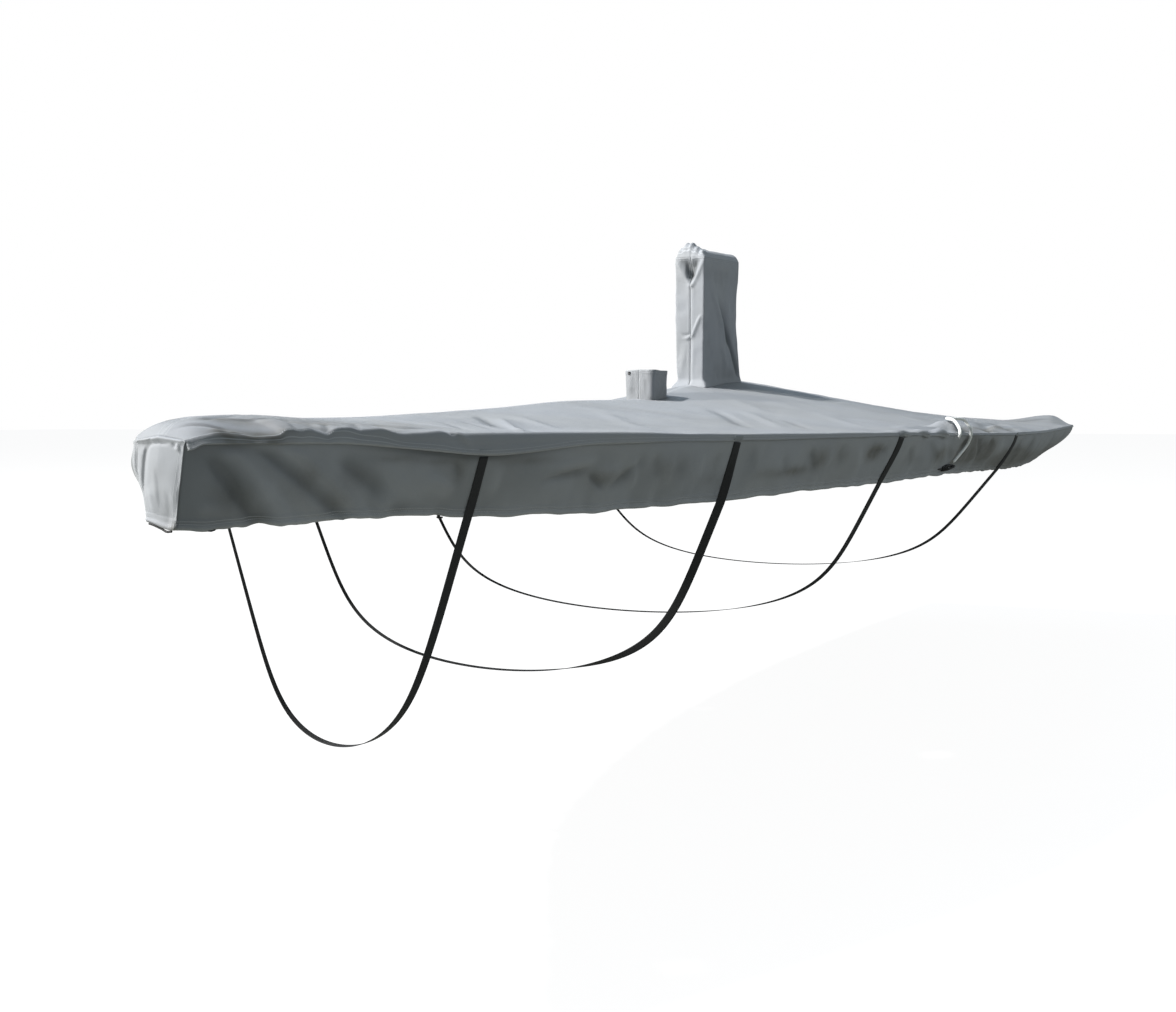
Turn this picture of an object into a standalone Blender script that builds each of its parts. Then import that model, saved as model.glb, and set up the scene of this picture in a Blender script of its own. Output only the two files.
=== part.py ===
"""Fitted cloth cover for a small keelboat that is stored with its mast up.

The cover is closed over the deck from nose to stern. A top in two halves rises to a ridge and rolls
over the gunwale, a skirt hangs from the roll, a collar stands round the mast, and a tall hood stands
over the lifted keel. Belly straps pass under the hull, and a cord ties the cloth at the port side stay.

Units are metres. X runs aft, Y to starboard and Z up. The origin is at gunwale level on the centreline,
half way along. Tables give places in metres aft of the nose.
"""
import math

import bmesh
import bpy
from mathutils import Vector

# ---------------------------------------------------------------- driving sizes
LENGTH = 7.50
CLOTH = 0.002           # two layers of coated canvas at the seams
GAP = 0.0003            # between pieces that touch
SEAM_EASE = 0.0008      # before and behind the collar and the hood
ROLL_BULGE = 0.007      # how far the rolled edge stands outboard at its deepest

STAY_SLOT = {"aft": 0.29, "length": 0.05, "half_width": 0.012}
SHROUD = {"aft": 3.235, "length": 0.04, "inner": 0.9645, "outer": 0.9835, "lift": 0.038, "reach": 0.120}
COLLAR = {"front": 2.62, "back": 2.77, "half_width": 0.058, "rim": 0.224, "corner": 0.022}
HOOD = {"front": 3.150, "back": 3.605, "half_width": 0.056, "rim": 0.690, "corner": 0.008}
CORNER_PAD = {"lift": 0.052, "length": 0.75, "share": 0.86, "inner_reach": 0.34, "outer_reach": 0.14}
SEAT_DEPTH = 0.004      # how far the collar and hood reach down through the top

STRAP_WIDTH = 0.025
STRAP_THICK = 0.0018
STRAP_CLEAR = 0.0007
TAB_SIZE = (0.036, 0.0015, 0.011)
TAB_CLEAR = 0.0007

TIE_DIAMETER = 0.009
HEM_CORD_DIAMETER = 0.005
KNOT_SIZE = (0.130, 0.034, 0.030)
KNOT_PLACE = (3.232, 1.034, -0.143)   # aft, out, height
KNOT_LEAN = (-4.0, 3.0)               # degrees: nose-down, swung out

# Sections along the hull: half breadth at the gunwale, heights of ridge and gunwale, crown of the top
# between them, drop of the hem, how far the hem tucks inboard, and depth of the rolled edge.
SECTION_COLUMNS = ("aft", "breadth", "ridge", "gunwale", "crown", "drop", "tuck", "roll")
SECTIONS = (
    (0.00, 0.066, 0.010, 0.000, 0.000, 0.194, 0.028, 0.010),
    (0.04, 0.096, 0.035, 0.000, 0.008, 0.195, 0.032, 0.010),
    (0.12, 0.137, 0.051, 0.001, 0.012, 0.194, 0.040, 0.011),
    (0.29, 0.226, 0.055, 0.002, 0.010, 0.193, 0.052, 0.013),
    (0.50, 0.340, 0.047, 0.003, 0.009, 0.190, 0.062, 0.032),
    (0.68, 0.432, 0.048, 0.003, 0.007, 0.200, 0.067, 0.048),
    (1.00, 0.580, 0.057, 0.004, 0.004, 0.204, 0.066, 0.025),
    (1.50, 0.765, 0.077, 0.000, 0.001, 0.194, 0.062, 0.019),
    (2.00, 0.890, 0.103, -0.001, 0.000, 0.181, 0.070, 0.016),
    (2.60, 0.998, 0.116, -0.002, 0.000, 0.177, 0.081, 0.014),
    (3.12, 1.060, 0.177, -0.008, 0.000, 0.164, 0.085, 0.013),
    (3.62, 1.086, 0.210, -0.013, 0.000, 0.161, 0.088, 0.012),
    (4.30, 1.100, 0.188, -0.018, 0.000, 0.168, 0.092, 0.012),
    (5.20, 1.078, 0.144, -0.019, -0.001, 0.180, 0.115, 0.012),
    (5.90, 1.045, 0.113, -0.014, -0.002, 0.186, 0.140, 0.012),
    (6.70, 0.996, 0.084, -0.007, -0.002, 0.190, 0.172, 0.012),
    (7.50, 0.942, 0.062, -0.001, 0.000, 0.190, 0.200, 0.012),
)

# Belly straps: place, depth of the loop under the gunwale, flare of the hull's side, hardness of its turn.
STRAP_COLUMNS = ("name", "aft", "depth", "flare", "turn")
STRAPS = (
    ("bow", 0.662, 0.80, 0.60, 12.0),
    ("fore", 1.52, 0.73, 0.38, 9.0),
    ("mid", 2.57, 0.67, 0.34, 9.0),
    ("aft", 4.30, 0.63, 0.44, 10.0),
)

# Folds of the skirts, with columns at_roll, at_hem, lift, width: where each starts at the roll, where it
# meets the hem, how far it stands out, and its half width.
PORT_FOLDS = (
    (0.03, 0.20, 0.009, 0.045),
    (0.15, 0.36, 0.013, 0.055),
    (0.31, 0.50, 0.011, 0.055),
    (0.49, 0.60, 0.008, 0.050),
    (0.80, 0.94, 0.008, 0.060),
    (1.00, 1.10, 0.006, 0.055),
    (1.19, 1.20, 0.009, 0.050),
    (1.34, 1.32, 0.008, 0.045),
    (1.63, 1.61, 0.008, 0.050),
    (1.82, 1.80, 0.009, 0.055),
    (2.02, 2.05, 0.007, 0.055),
    (2.24, 2.28, 0.009, 0.060),
    (2.70, 2.74, 0.008, 0.060),
    (2.96, 3.02, 0.011, 0.065),
    (3.22, 3.20, 0.013, 0.055),
    (3.56, 3.60, 0.012, 0.065),
    (3.90, 3.86, 0.008, 0.080),
    (4.65, 4.70, 0.007, 0.100),
    (5.25, 5.20, 0.006, 0.120),
    (5.95, 6.00, 0.006, 0.140),
    (6.70, 6.65, 0.005, 0.140),
)
STARBOARD_FOLDS = (
    (0.05, 0.17, 0.010, 0.050),
    (0.22, 0.34, 0.010, 0.055),
    (0.42, 0.52, 0.009, 0.055),
    (0.82, 0.88, 0.008, 0.060),
    (1.10, 1.14, 0.008, 0.060),
    (1.34, 1.36, 0.007, 0.050),
    (1.68, 1.66, 0.009, 0.060),
    (1.93, 1.96, 0.007, 0.060),
    (2.22, 2.20, 0.009, 0.065),
    (2.78, 2.76, 0.009, 0.065),
    (3.00, 3.04, 0.010, 0.060),
    (3.26, 3.30, 0.012, 0.060),
    (3.62, 3.66, 0.010, 0.070),
    (4.00, 3.96, 0.007, 0.080),
    (4.70, 4.66, 0.007, 0.110),
    (5.40, 5.46, 0.006, 0.120),
    (6.20, 6.16, 0.005, 0.150),
    (6.90, 6.94, 0.005, 0.120),
)

# Route of the tie, with columns aft, out, height: from the knot at the hem up the skirt, over the
# gunwale, behind the stay and back down to its free end.
TIE_ROUTE = (
    (3.250, 1.0375, -0.1228),
    (3.288, 1.0450, -0.1100),
    (3.333, 1.0550, -0.0920),
    (3.372, 1.0720, -0.0600),
    (3.390, 1.0860, -0.0280),
    (3.388, 1.0835, -0.0030),
    (3.355, 1.0700, 0.0210),
    (3.315, 1.0640, 0.0350),
    (3.285, 1.0500, 0.0410),
    (3.263, 1.0270, 0.0430),
    (3.236, 1.0175, 0.0440),
    (3.209, 1.0210, 0.0425),
    (3.197, 1.0340, 0.0380),
    (3.200, 1.0515, 0.0305),
    (3.207, 1.0665, 0.0120),
    (3.209, 1.0760, -0.0035),
    (3.205, 1.0770, -0.0170),
    (3.198, 1.0715, -0.0300),
)

CLOTH_GREY = (0.36, 0.39, 0.42, 1.0)
WEBBING_BLACK = (0.010, 0.011, 0.012, 1.0)
TAB_GREY = (0.45, 0.47, 0.48, 1.0)
CORD_WHITE = (0.78, 0.79, 0.78, 1.0)
STUD_BLACK = (0.015, 0.015, 0.016, 1.0)


# ---------------------------------------------------------------- reading the tables
def column(columns, rows, name):
    """One named column of a table."""
    place = columns.index(name)
    return [row[place] for row in rows]


def smooth_between(places, values, at):
    """Cubic curve through a table's values, with level-limited slopes so that it never overshoots."""
    at = min(max(at, places[0]), places[-1])
    last = len(places) - 2
    k = 0
    while k < last and at > places[k + 1]:
        k += 1

    def slope(i):
        if i == 0 or i == len(places) - 1:
            j = min(i, last)
            return (values[j + 1] - values[j]) / (places[j + 1] - places[j])
        before = (values[i] - values[i - 1]) / (places[i] - places[i - 1])
        after = (values[i + 1] - values[i]) / (places[i + 1] - places[i])
        if before * after <= 0.0:
            return 0.0
        return 2.0 * before * after / (before + after)

    span = places[k + 1] - places[k]
    t = (at - places[k]) / span
    rise = values[k + 1] - values[k]
    start = slope(k) * span
    end = slope(k + 1) * span
    return values[k] + t * (start + t * ((3.0 * rise - 2.0 * start - end) + t * (start + end - 2.0 * rise)))


SECTION_PLACES = column(SECTION_COLUMNS, SECTIONS, "aft")


def section(name, aft):
    """A section value at any place along the hull."""
    return smooth_between(SECTION_PLACES, column(SECTION_COLUMNS, SECTIONS, name), aft)


def bump(distance, reach):
    """A smooth hill, 1 at its middle and 0 from its reach outward."""
    if abs(distance) >= reach:
        return 0.0
    return 0.5 + 0.5 * math.cos(math.pi * distance / reach)


def to_frame(aft, out, height, side):
    """From the tables' places to the part's frame; side is -1 to port and +1 to starboard."""
    return Vector((aft - LENGTH / 2.0, side * out, height))


# ---------------------------------------------------------------- the cover's surface
def top_height(aft, out):
    """Height of the top's outer face at a distance out from the centreline."""
    breadth = section("breadth", aft)
    gunwale = section("gunwale", aft)
    share = min(out / breadth, 1.0)
    height = gunwale + (section("ridge", aft) - gunwale) * (1.0 - share)
    height += section("crown", aft) * 4.0 * share * (1.0 - share)
    # a cleat under the cloth lifts each stern corner
    pad = CORNER_PAD
    reach = pad["inner_reach"] if share < pad["share"] else pad["outer_reach"]
    height += pad["lift"] * bump(aft - LENGTH, pad["length"]) * bump(share - pad["share"], reach)
    # the cloth is drawn up round each side stay
    middle = breadth * 0.5 * (SHROUD["inner"] + SHROUD["outer"])
    away = math.hypot(aft - SHROUD["aft"], out - middle)
    return height + SHROUD["lift"] * bump(away, SHROUD["reach"]) * min(1.0, (1.0 - share) / 0.015)


def roll_point(aft, share):
    """A point of the rolled edge: 0 at the gunwale's crease, 1 at the seam under it."""
    depth = section("roll", aft)
    stand = ROLL_BULGE * math.sqrt(depth / 0.05) * math.sin(math.pi * share ** 0.8)
    return section("breadth", aft) + stand, section("gunwale", aft) - depth * share


def fold_lift(aft, share, folds):
    """How far the folds push the skirt outboard; straps and ends hold it flat."""
    lift = 0.0
    for at_roll, at_hem, height, width in folds:
        middle = at_roll + (at_hem - at_roll) * share
        lift += height * bump(aft - middle, 2.0 * width)
    for place in column(STRAP_COLUMNS, STRAPS, "aft"):
        lift *= 1.0 - bump(max(abs(aft - place) - 0.02, 0.0), 0.11)
    ends = min(1.0, aft / 0.06, (LENGTH - aft) / 0.10)
    return lift * max(ends, 0.0) * math.sin(0.5 * math.pi * min(1.0, 1.6 * share)) ** 1.5


def skirt_out(aft, share):
    """Distance out of the skirt's smooth outer face, 0 at the seam and 1 at the hem."""
    roundness = 1.0 + 0.7 * aft / LENGTH
    return section("breadth", aft) - section("tuck", aft) * share ** roundness


def skirt_height(aft, share):
    """Height of the skirt's rows, with a slightly wavy hem between the straps."""
    top = section("gunwale", aft) - section("roll", aft) - GAP
    hem = section("gunwale", aft) - section("drop", aft)
    wave = 0.0025 * math.sin(23.0 * aft) + 0.0018 * math.sin(51.0 * aft + 1.0)
    for place in column(STRAP_COLUMNS, STRAPS, "aft"):
        wave *= 1.0 - bump(max(abs(aft - place) - 0.02, 0.0), 0.08)
    return top + (hem + wave * min(1.0, aft / 0.1, (LENGTH - aft) / 0.1) - top) * share


# ---------------------------------------------------------------- mesh and object helpers
def clear_scene():
    for old in list(bpy.data.objects):
        bpy.data.objects.remove(old, do_unlink=True)


def new_collection(name):
    collection = bpy.data.collections.new(name)
    bpy.context.scene.collection.children.link(collection)
    return collection


def finish_material(name, colour, roughness, metallic=0.0):
    material = bpy.data.materials.new(name)
    material.use_nodes = True
    shader = material.node_tree.nodes["Principled BSDF"]
    shader.inputs["Base Color"].default_value = colour
    shader.inputs["Roughness"].default_value = roughness
    shader.inputs["Metallic"].default_value = metallic
    material.diffuse_color = colour
    return material


def add_object(name, bm, material, collection):
    """Make one named object of a bmesh, with smooth round faces."""
    mesh = bpy.data.meshes.new(name)
    bm.to_mesh(mesh)
    bm.free()
    mesh.shade_smooth()
    mesh.set_sharp_from_angle(angle=math.radians(40.0))
    mesh.materials.append(material)
    obj = bpy.data.objects.new(name, mesh)
    collection.objects.link(obj)
    return obj


def cloth_solid(rows, outward, closed=False, skip=(), cuts=None):
    """A cloth of even thickness over a grid of outer points.

    outward is +1 where columns x rows gives the outer side, else -1. skip holds grid cells left open.
    cuts names the axis along which a border is cut square, so that neighbours meet face to face.
    """
    bm = bmesh.new()
    outer = [[bm.verts.new(point) for point in row] for row in rows]
    columns = len(rows[0])
    for i in range(len(rows) - 1):
        for j in range(columns if closed else columns - 1):
            if (i, j) in skip:
                continue
            k = (j + 1) % columns
            corners = [outer[i][j], outer[i][k], outer[i + 1][k], outer[i + 1][j]]
            bm.faces.new(corners if outward > 0 else corners[::-1])
    borders = {
        "first_row": outer[0],
        "last_row": outer[-1],
        "first_column": [row[0] for row in outer],
        "last_column": [row[-1] for row in outer],
    }
    thicken(bm, [(borders[border], axis) for border, axis in (cuts or {}).items()])
    return bm


def thicken(bm, square_borders):
    """Give a skin its thickness inward. Each square border is a list of points and the axis of its cut."""
    bmesh.ops.triangulate(bm, faces=bm.faces[:])
    bm.normal_update()
    ways = {vert: vert.normal.copy() for vert in bm.verts}
    for border, axis in square_borders:
        for vert in border:
            ways[vert]["xyz".index(axis)] = 0.0
            ways[vert].normalize()
    inner = {vert: bm.verts.new(vert.co - way * CLOTH) for vert, way in ways.items()}
    skins = list(bm.faces)
    rims = [edge.link_loops[0] for edge in bm.edges if len(edge.link_faces) == 1]
    edges = [(loop.vert, loop.link_loop_next.vert) for loop in rims]
    for face in skins:
        bm.faces.new([inner[vert] for vert in reversed(face.verts)])
    for start, end in edges:
        bm.faces.new([end, start, inner[start], inner[end]])


def tube(name, points, diameter, material, collection, resolution=2):
    """A cord along its points, with closed ends."""
    curve = bpy.data.curves.new(name, "CURVE")
    curve.dimensions = "3D"
    curve.bevel_depth = diameter / 2.0
    curve.bevel_resolution = resolution
    curve.use_fill_caps = True
    spline = curve.splines.new("POLY")
    spline.points.add(len(points) - 1)
    for spot, point in zip(spline.points, points):
        spot.co = (*point, 1.0)
    curve.materials.append(material)
    obj = bpy.data.objects.new(name, curve)
    collection.objects.link(obj)
    return obj


def smooth_route(points, step):
    """Even points on a smooth curve through a route's own points."""
    fine = []
    for k in range(len(points) - 1):
        before = points[max(k - 1, 0)]
        start = points[k]
        end = points[k + 1]
        after = points[min(k + 2, len(points) - 1)]
        for n in range(12):
            t = n / 12.0
            fine.append(0.5 * (2.0 * start + (end - before) * t
                               + (2.0 * before - 5.0 * start + 4.0 * end - after) * t * t
                               + (3.0 * start - before - 3.0 * end + after) * t * t * t))
    fine.append(points[-1])
    travelled = [0.0]
    for first, second in zip(fine, fine[1:]):
        travelled.append(travelled[-1] + (second - first).length)
    count = max(2, round(travelled[-1] / step))
    even = []
    k = 0
    for n in range(count + 1):
        wanted = travelled[-1] * n / count
        while k < len(fine) - 2 and travelled[k + 1] < wanted:
            k += 1
        share = (wanted - travelled[k]) / (travelled[k + 1] - travelled[k])
        even.append(fine[k].lerp(fine[k + 1], min(max(share, 0.0), 1.0)))
    return even


# ---------------------------------------------------------------- stations along the hull
def stations(pitches, special, nearest):
    """Even places from a list of (end, pitch), with the special places kept exactly."""
    places = []
    start = 0.0
    for end, pitch in pitches:
        count = round((end - start) / pitch)
        places += [start + (end - start) * n / count for n in range(count)]
        start = end
    places.append(LENGTH)
    kept = [p for p in places if all(abs(p - s) > nearest for s in special) or p in (0.0, LENGTH)]
    return sorted(kept + list(special))


def strap_places(margin):
    return [aft + shift for aft in column(STRAP_COLUMNS, STRAPS, "aft") for shift in (-margin, margin)]


def top_opening(aft):
    """How far out the top's inner edge stands: the centre seam, or the edge of an opening."""
    slot = STAY_SLOT
    if abs(aft - slot["aft"]) <= slot["length"] / 2.0 + 1e-6:
        return slot["half_width"]
    for piece in (COLLAR, HOOD):
        if piece["front"] - SEAM_EASE - 1e-6 <= aft <= piece["back"] + SEAM_EASE + 1e-6:
            return piece["half_width"] + GAP
    return GAP / 2.0


def cover_stations():
    """Places shared by the top and the skirts, so that their seam runs through the same points."""
    slot = STAY_SLOT
    special = [slot["aft"] + s * (slot["length"] / 2.0 + e) for s in (-1.0, 1.0) for e in (0.0, 0.002)]
    special += strap_places(0.022)
    for piece in (COLLAR, HOOD):
        special += [piece["front"] - SEAM_EASE, piece["front"] - SEAM_EASE - 0.001]
        special += [piece["back"] + SEAM_EASE, piece["back"] + SEAM_EASE + 0.001]
    special += [SHROUD["aft"] + s * SHROUD["length"] / 2.0 for s in (-1.0, 1.0)]
    return stations(((1.6, 0.075), (4.4, 0.125), (LENGTH, 0.22)), special, 0.030)


# ---------------------------------------------------------------- sub-parts
TOP_SHARES = (0.0, 0.05, 0.28, 0.52, 0.74, 0.87, SHROUD["inner"], SHROUD["outer"], 1.0)
ROLL_SHARES = (0.30, 0.68, 1.0)
SKIRT_SHARES = (0.0, 0.22, 0.48, 0.76, 1.0)


def make_top(side, material, collection):
    """Half of the top, from the centre seam over the gunwale to the seam under the roll."""
    places = cover_stations()
    rows = []
    for aft in places:
        inner = top_opening(aft)
        breadth = section("breadth", aft)
        row = []
        for share in TOP_SHARES:
            out = max(breadth * share, inner + 0.4 * share * breadth) if share < 0.3 else breadth * share
            out = inner if share == 0.0 else out
            row.append(to_frame(aft, out, top_height(aft, out), side))
        for share in ROLL_SHARES:
            row.append(to_frame(aft, *roll_point(aft, share), side))
        rows.append(row)
    hole_row = places.index(SHROUD["aft"] - SHROUD["length"] / 2.0)
    hole = (hole_row, TOP_SHARES.index(SHROUD["inner"]))
    cuts = {"first_row": "x", "last_row": "x", "first_column": "y", "last_column": "z"}
    bm = cloth_solid(rows, -side, skip={hole}, cuts=cuts)
    return add_object("top_port" if side < 0 else "top_starboard", bm, material, collection)


def make_skirt(side, folds, material, collection):
    """The hanging skirt of one side, from the seam under the roll to its hem."""
    rows = []
    for aft in cover_stations():
        row = []
        for share in SKIRT_SHARES:
            out = skirt_out(aft, share) + fold_lift(aft, share, folds)
            row.append(to_frame(aft, out, skirt_height(aft, share), side))
        rows.append(row)
    cuts = {"first_row": "x", "last_row": "x", "first_column": "z", "last_column": "z"}
    bm = cloth_solid(rows, -side, cuts=cuts)
    return add_object("skirt_port" if side < 0 else "skirt_starboard", bm, material, collection)


def end_outline(aft, share):
    """Distance out and height of the cover's side where an end panel meets it."""
    drop = section("drop", aft)
    roll = section("roll", aft)
    depth = drop * share
    if depth <= roll:
        return roll_point(aft, depth / roll)
    below = (depth - roll) / (drop - roll)
    return skirt_out(aft, below), section("gunwale", aft) - depth


def make_end_panel(name, aft, way, columns, row_count, bulge, material, collection):
    """A panel that closes the nose (way -1) or the stern (way +1)."""
    rows = []
    for i in range(row_count + 1):
        share = i / row_count
        breadth, side_height = end_outline(aft, share)
        row = []
        for j in range(columns + 1):
            across = 2.0 * j / columns - 1.0
            top = top_height(aft, abs(across) * section("breadth", aft))
            height = side_height + (top - section("gunwale", aft)) * (1.0 - share)
            stand = bulge * math.sin(math.pi * min(share, 0.9)) ** 0.8 * (1.0 - across ** 2)
            stand += 0.3 * bulge * math.sin(7.0 * across + 1.0) * math.sin(math.pi * share) * (1.0 - across ** 2)
            x = aft + way * (GAP + CLOTH + max(stand, 0.0)) - LENGTH / 2.0
            row.append(Vector((x, across * breadth, height)))
        rows.append(row)
    bm = cloth_solid(rows, -way)
    return add_object(name, bm, material, collection)


def wall_outline(front, back, half_width, corner, front_cells, side_cells):
    """Plan of a standing wall, from the middle of its front round its port side and back to the front."""
    quarter = []
    for n in range(front_cells + 1):
        quarter.append((0.0, -(GAP / 2.0 + (half_width - corner - GAP / 2.0) * n / front_cells)))
    turn = corner * (1.0 - math.sqrt(0.5))
    quarter.append((turn, -(half_width - turn)))
    length = back - front
    for n in range(side_cells + 1):
        quarter.append((corner + (length - 2.0 * corner) * n / side_cells, -half_width))
    quarter.append((length - turn, -(half_width - turn)))
    for n in range(front_cells, -1, -1):
        reach = half_width - corner
        quarter.append((length, -reach * n / front_cells))
    port = [(front + x, y) for x, y in quarter]
    starboard = [(x, -y) for x, y in reversed(port[:-1])]
    return port + starboard


def hood_back(height_share):
    """How far forward the hood's back edge is drawn in at a share of its height."""
    places = (0.0, 0.18, 0.45, 0.72, 0.93, 1.0)
    drawn = (0.0, 0.022, 0.062, 0.058, 0.036, 0.040)
    return smooth_between(places, drawn, height_share)


def hood_point(x, y, share):
    """A point of the hood's wall: straight plan at the base, drawn in and creased above it."""
    long = HOOD["back"] - HOOD["front"]
    along = (x - HOOD["front"]) / long
    out = y * (1.0 + 0.07 * share)
    aft = x - hood_back(share) * max(0.0, along) ** 2
    base = top_height(x, HOOD["half_width"]) - SEAT_DEPTH
    rim = HOOD["rim"] + 0.014 * along
    height = base + (rim - base) * share
    side_face = bump(along - 0.5, 0.55)
    crease = 0.010 * bump(along - (0.22 + 0.75 * (1.0 - share)), 0.16) * bump(share - 0.5, 0.45)
    belly = 0.006 * math.sin(math.pi * share) * side_face
    out -= math.copysign(crease * side_face, y) if abs(y) > 0.5 * HOOD["half_width"] else 0.0
    out += math.copysign(belly, y) if abs(y) > 0.5 * HOOD["half_width"] else 0.0
    # the spare cloth of the front is tucked in as a V under the top
    if along < 0.02:
        spread = max(0.0, (share - 0.78) / 0.22)
        aft += 0.016 * spread * bump(y, 0.010 + 0.034 * spread)
    return Vector((aft - LENGTH / 2.0, out, height))


HOOD_SHARES = (0.0, 0.06, 0.22, 0.38, 0.54, 0.68, 0.80, 0.90, 1.0)


def hood_plan():
    return wall_outline(HOOD["front"], HOOD["back"], HOOD["half_width"], HOOD["corner"], 3, 6)


def make_hood_wall(material, collection):
    """The hood's wall, one wrap that is joined down the middle of its front."""
    rows = [[hood_point(x, y, share) for x, y in hood_plan()] for share in HOOD_SHARES]
    bm = cloth_solid(rows, 1, cuts={"first_column": "y", "last_column": "y", "last_row": "z"})
    return add_object("keel_hood_wall", bm, material, collection)


def make_hood_top(material, collection):
    """The hood's lid: its border meets the wall, and a bunch of tucked cloth stands at its front."""
    plan = hood_plan()[:-1]
    border = [hood_point(x, y, 1.0) for x, y in plan]
    border[0].y = 0.0
    front = HOOD["front"] + HOOD["corner"]
    back = HOOD["back"] - HOOD["corner"]
    middle = 0.5 * (front + back)
    rows = []
    for inset, rise in ((0.0, GAP), (0.02, 0.009), (0.10, 0.017), (0.50, 0.022), (1.0, 0.024)):
        row = []
        for (x, _), point in zip(plan, border):
            along = middle + (min(max(x, front), back) - middle) * 0.80
            spine = Vector((along - LENGTH / 2.0, 0.0, point.z))
            spot = point.lerp(spine, inset)
            bunch = 0.030 * bump(spot.x - border[0].x - 0.03, 0.09) * bump(spot.y - 0.018, 0.05)
            spot.z += rise + bunch * min(1.0, inset / 0.1)
            row.append(spot)
        rows.append(row)
    spine_row = rows.pop()
    bm = cloth_solid_with_spine(rows, spine_row)
    return add_object("keel_hood_top", bm, material, collection)


def cloth_solid_with_spine(rows, spine_row):
    """A lid whose closed rows end on a spine, where the two sides share their points."""
    bm = bmesh.new()
    outer = [[bm.verts.new(point) for point in row] for row in rows]
    spine = [bm.verts.new(point) for point in spine_row]
    outer.append(spine)
    count = len(spine)
    for i in range(len(outer) - 1):
        for j in range(count):
            k = (j + 1) % count
            bm.faces.new([outer[i][j], outer[i][k], outer[i + 1][k], outer[i + 1][j]])
    bmesh.ops.remove_doubles(bm, verts=spine, dist=0.0005)
    bmesh.ops.dissolve_degenerate(bm, edges=bm.edges, dist=0.0002)
    thicken(bm, [(outer[0], "z")])
    return bm


def make_collar(material, collection):
    """The collar round the mast, open at its rim and joined down the middle of its front."""
    plan = wall_outline(COLLAR["front"], COLLAR["back"], COLLAR["half_width"], COLLAR["corner"], 2, 2)
    rows = []
    for share in (0.0, 0.12, 0.5, 0.85, 1.0):
        row = []
        for n, (x, y) in enumerate(plan):
            base = top_height(x, COLLAR["half_width"]) - SEAT_DEPTH
            rim = COLLAR["rim"] + 0.002 * math.sin(2.1 * n)
            spread = 1.0 + 0.05 * share ** 2
            waist = 0.002 * math.sin(math.pi * share)
            row.append(Vector((x - LENGTH / 2.0 - waist * (x < COLLAR["front"] + 0.01), y * spread,
                               base + (rim - base) * share)))
        rows.append(row)
    bm = cloth_solid(rows, 1, cuts={"first_column": "y", "last_column": "y"})
    return add_object("mast_collar", bm, material, collection)


def strap_line(row):
    """Middle line of a belly strap's half, from the seam to the keel line, as (out, height, slope).

    The slope is how fast the hull's side moves out along the hull at that point.
    """
    aft, depth, flare, turn = row[1:]
    stand = STRAP_CLEAR + STRAP_THICK / 2.0
    gunwale = section("gunwale", aft)
    line = []
    for share in (0.02, *SKIRT_SHARES[1:]):
        slope = (skirt_out(aft + 0.01, share) - skirt_out(aft - 0.01, share)) / 0.02
        line.append((skirt_out(aft, share) + stand, skirt_height(aft, share), slope))
    hem_out, hem_height, hem_slope = line[-1]

    def hull(drop):
        return (1.0 - flare * drop) * math.sqrt(max(0.0, 1.0 - drop ** turn))

    first = math.asin((gunwale - hem_height) / depth)
    scale = hem_out / hull(math.sin(first))
    steps = 13
    for n in range(1, steps + 1):
        angle = first + (math.pi / 2.0 - first) * n / steps
        drop = math.sin(angle)
        out = scale * hull(drop)
        line.append((out, gunwale - depth * drop, hem_slope * out / hem_out))
    return line


def make_strap(row, material, collection):
    """A webbing strap that passes under the hull from seam to seam."""
    aft = row[1]
    line = strap_line(row)
    path = [(-out, height, -slope) for out, height, slope in line] + line[-2::-1]
    rings = []
    for n, (y, z, slope) in enumerate(path):
        before = path[max(n - 1, 0)]
        after = path[min(n + 1, len(path) - 1)]
        along = Vector((0.0, after[0] - before[0], after[1] - before[1])).normalized()
        wide = Vector((1.0, slope, 0.0)).normalized()
        thick = wide.cross(along).normalized()
        middle = Vector((aft - LENGTH / 2.0, y, z))
        half_wide = wide * STRAP_WIDTH / 2.0
        half_thick = thick * STRAP_THICK / 2.0
        rings.append([middle - half_wide - half_thick, middle + half_wide - half_thick,
                      middle + half_wide + half_thick, middle - half_wide + half_thick])
    bm = bmesh.new()
    verts = [[bm.verts.new(point) for point in ring] for ring in rings]
    for i in range(len(verts) - 1):
        for j in range(4):
            k = (j + 1) % 4
            bm.faces.new([verts[i][j], verts[i][k], verts[i + 1][k], verts[i + 1][j]])
    bm.faces.new(verts[0][::-1])
    bm.faces.new(verts[-1])
    bmesh.ops.recalc_face_normals(bm, faces=bm.faces)
    return add_object("strap_" + row[0], bm, material, collection)


def make_tab(row, side, material, collection):
    """The folded tab on the rolled edge that each strap's end is sewn to."""
    aft = row[1]
    breadth = section("breadth", aft)
    slope = (section("breadth", aft + 0.01) - section("breadth", aft - 0.01)) / 0.02
    share = max(0.55, 1.0 - 0.010 / section("roll", aft))
    out, height = roll_point(aft, share)
    below = roll_point(aft, min(1.0, share + 0.1))
    lean = math.atan2(out - below[0], height - below[1])
    stand = TAB_CLEAR + TAB_SIZE[1] / 2.0
    bm = bmesh.new()
    bmesh.ops.create_cube(bm, size=1.0)
    bmesh.ops.scale(bm, vec=TAB_SIZE, verts=bm.verts)
    obj = add_object(f"strap_tab_{row[0]}_{'port' if side < 0 else 'starboard'}", bm, material, collection)
    obj.location = to_frame(aft, out + stand, height + 0.0005, side)
    obj.rotation_euler = (side * -lean, 0.0, math.atan2(side * slope, 1.0))
    bevel = obj.modifiers.new("soft_edges", "BEVEL")
    bevel.width = 0.0005
    bevel.segments = 1
    return obj


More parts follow.
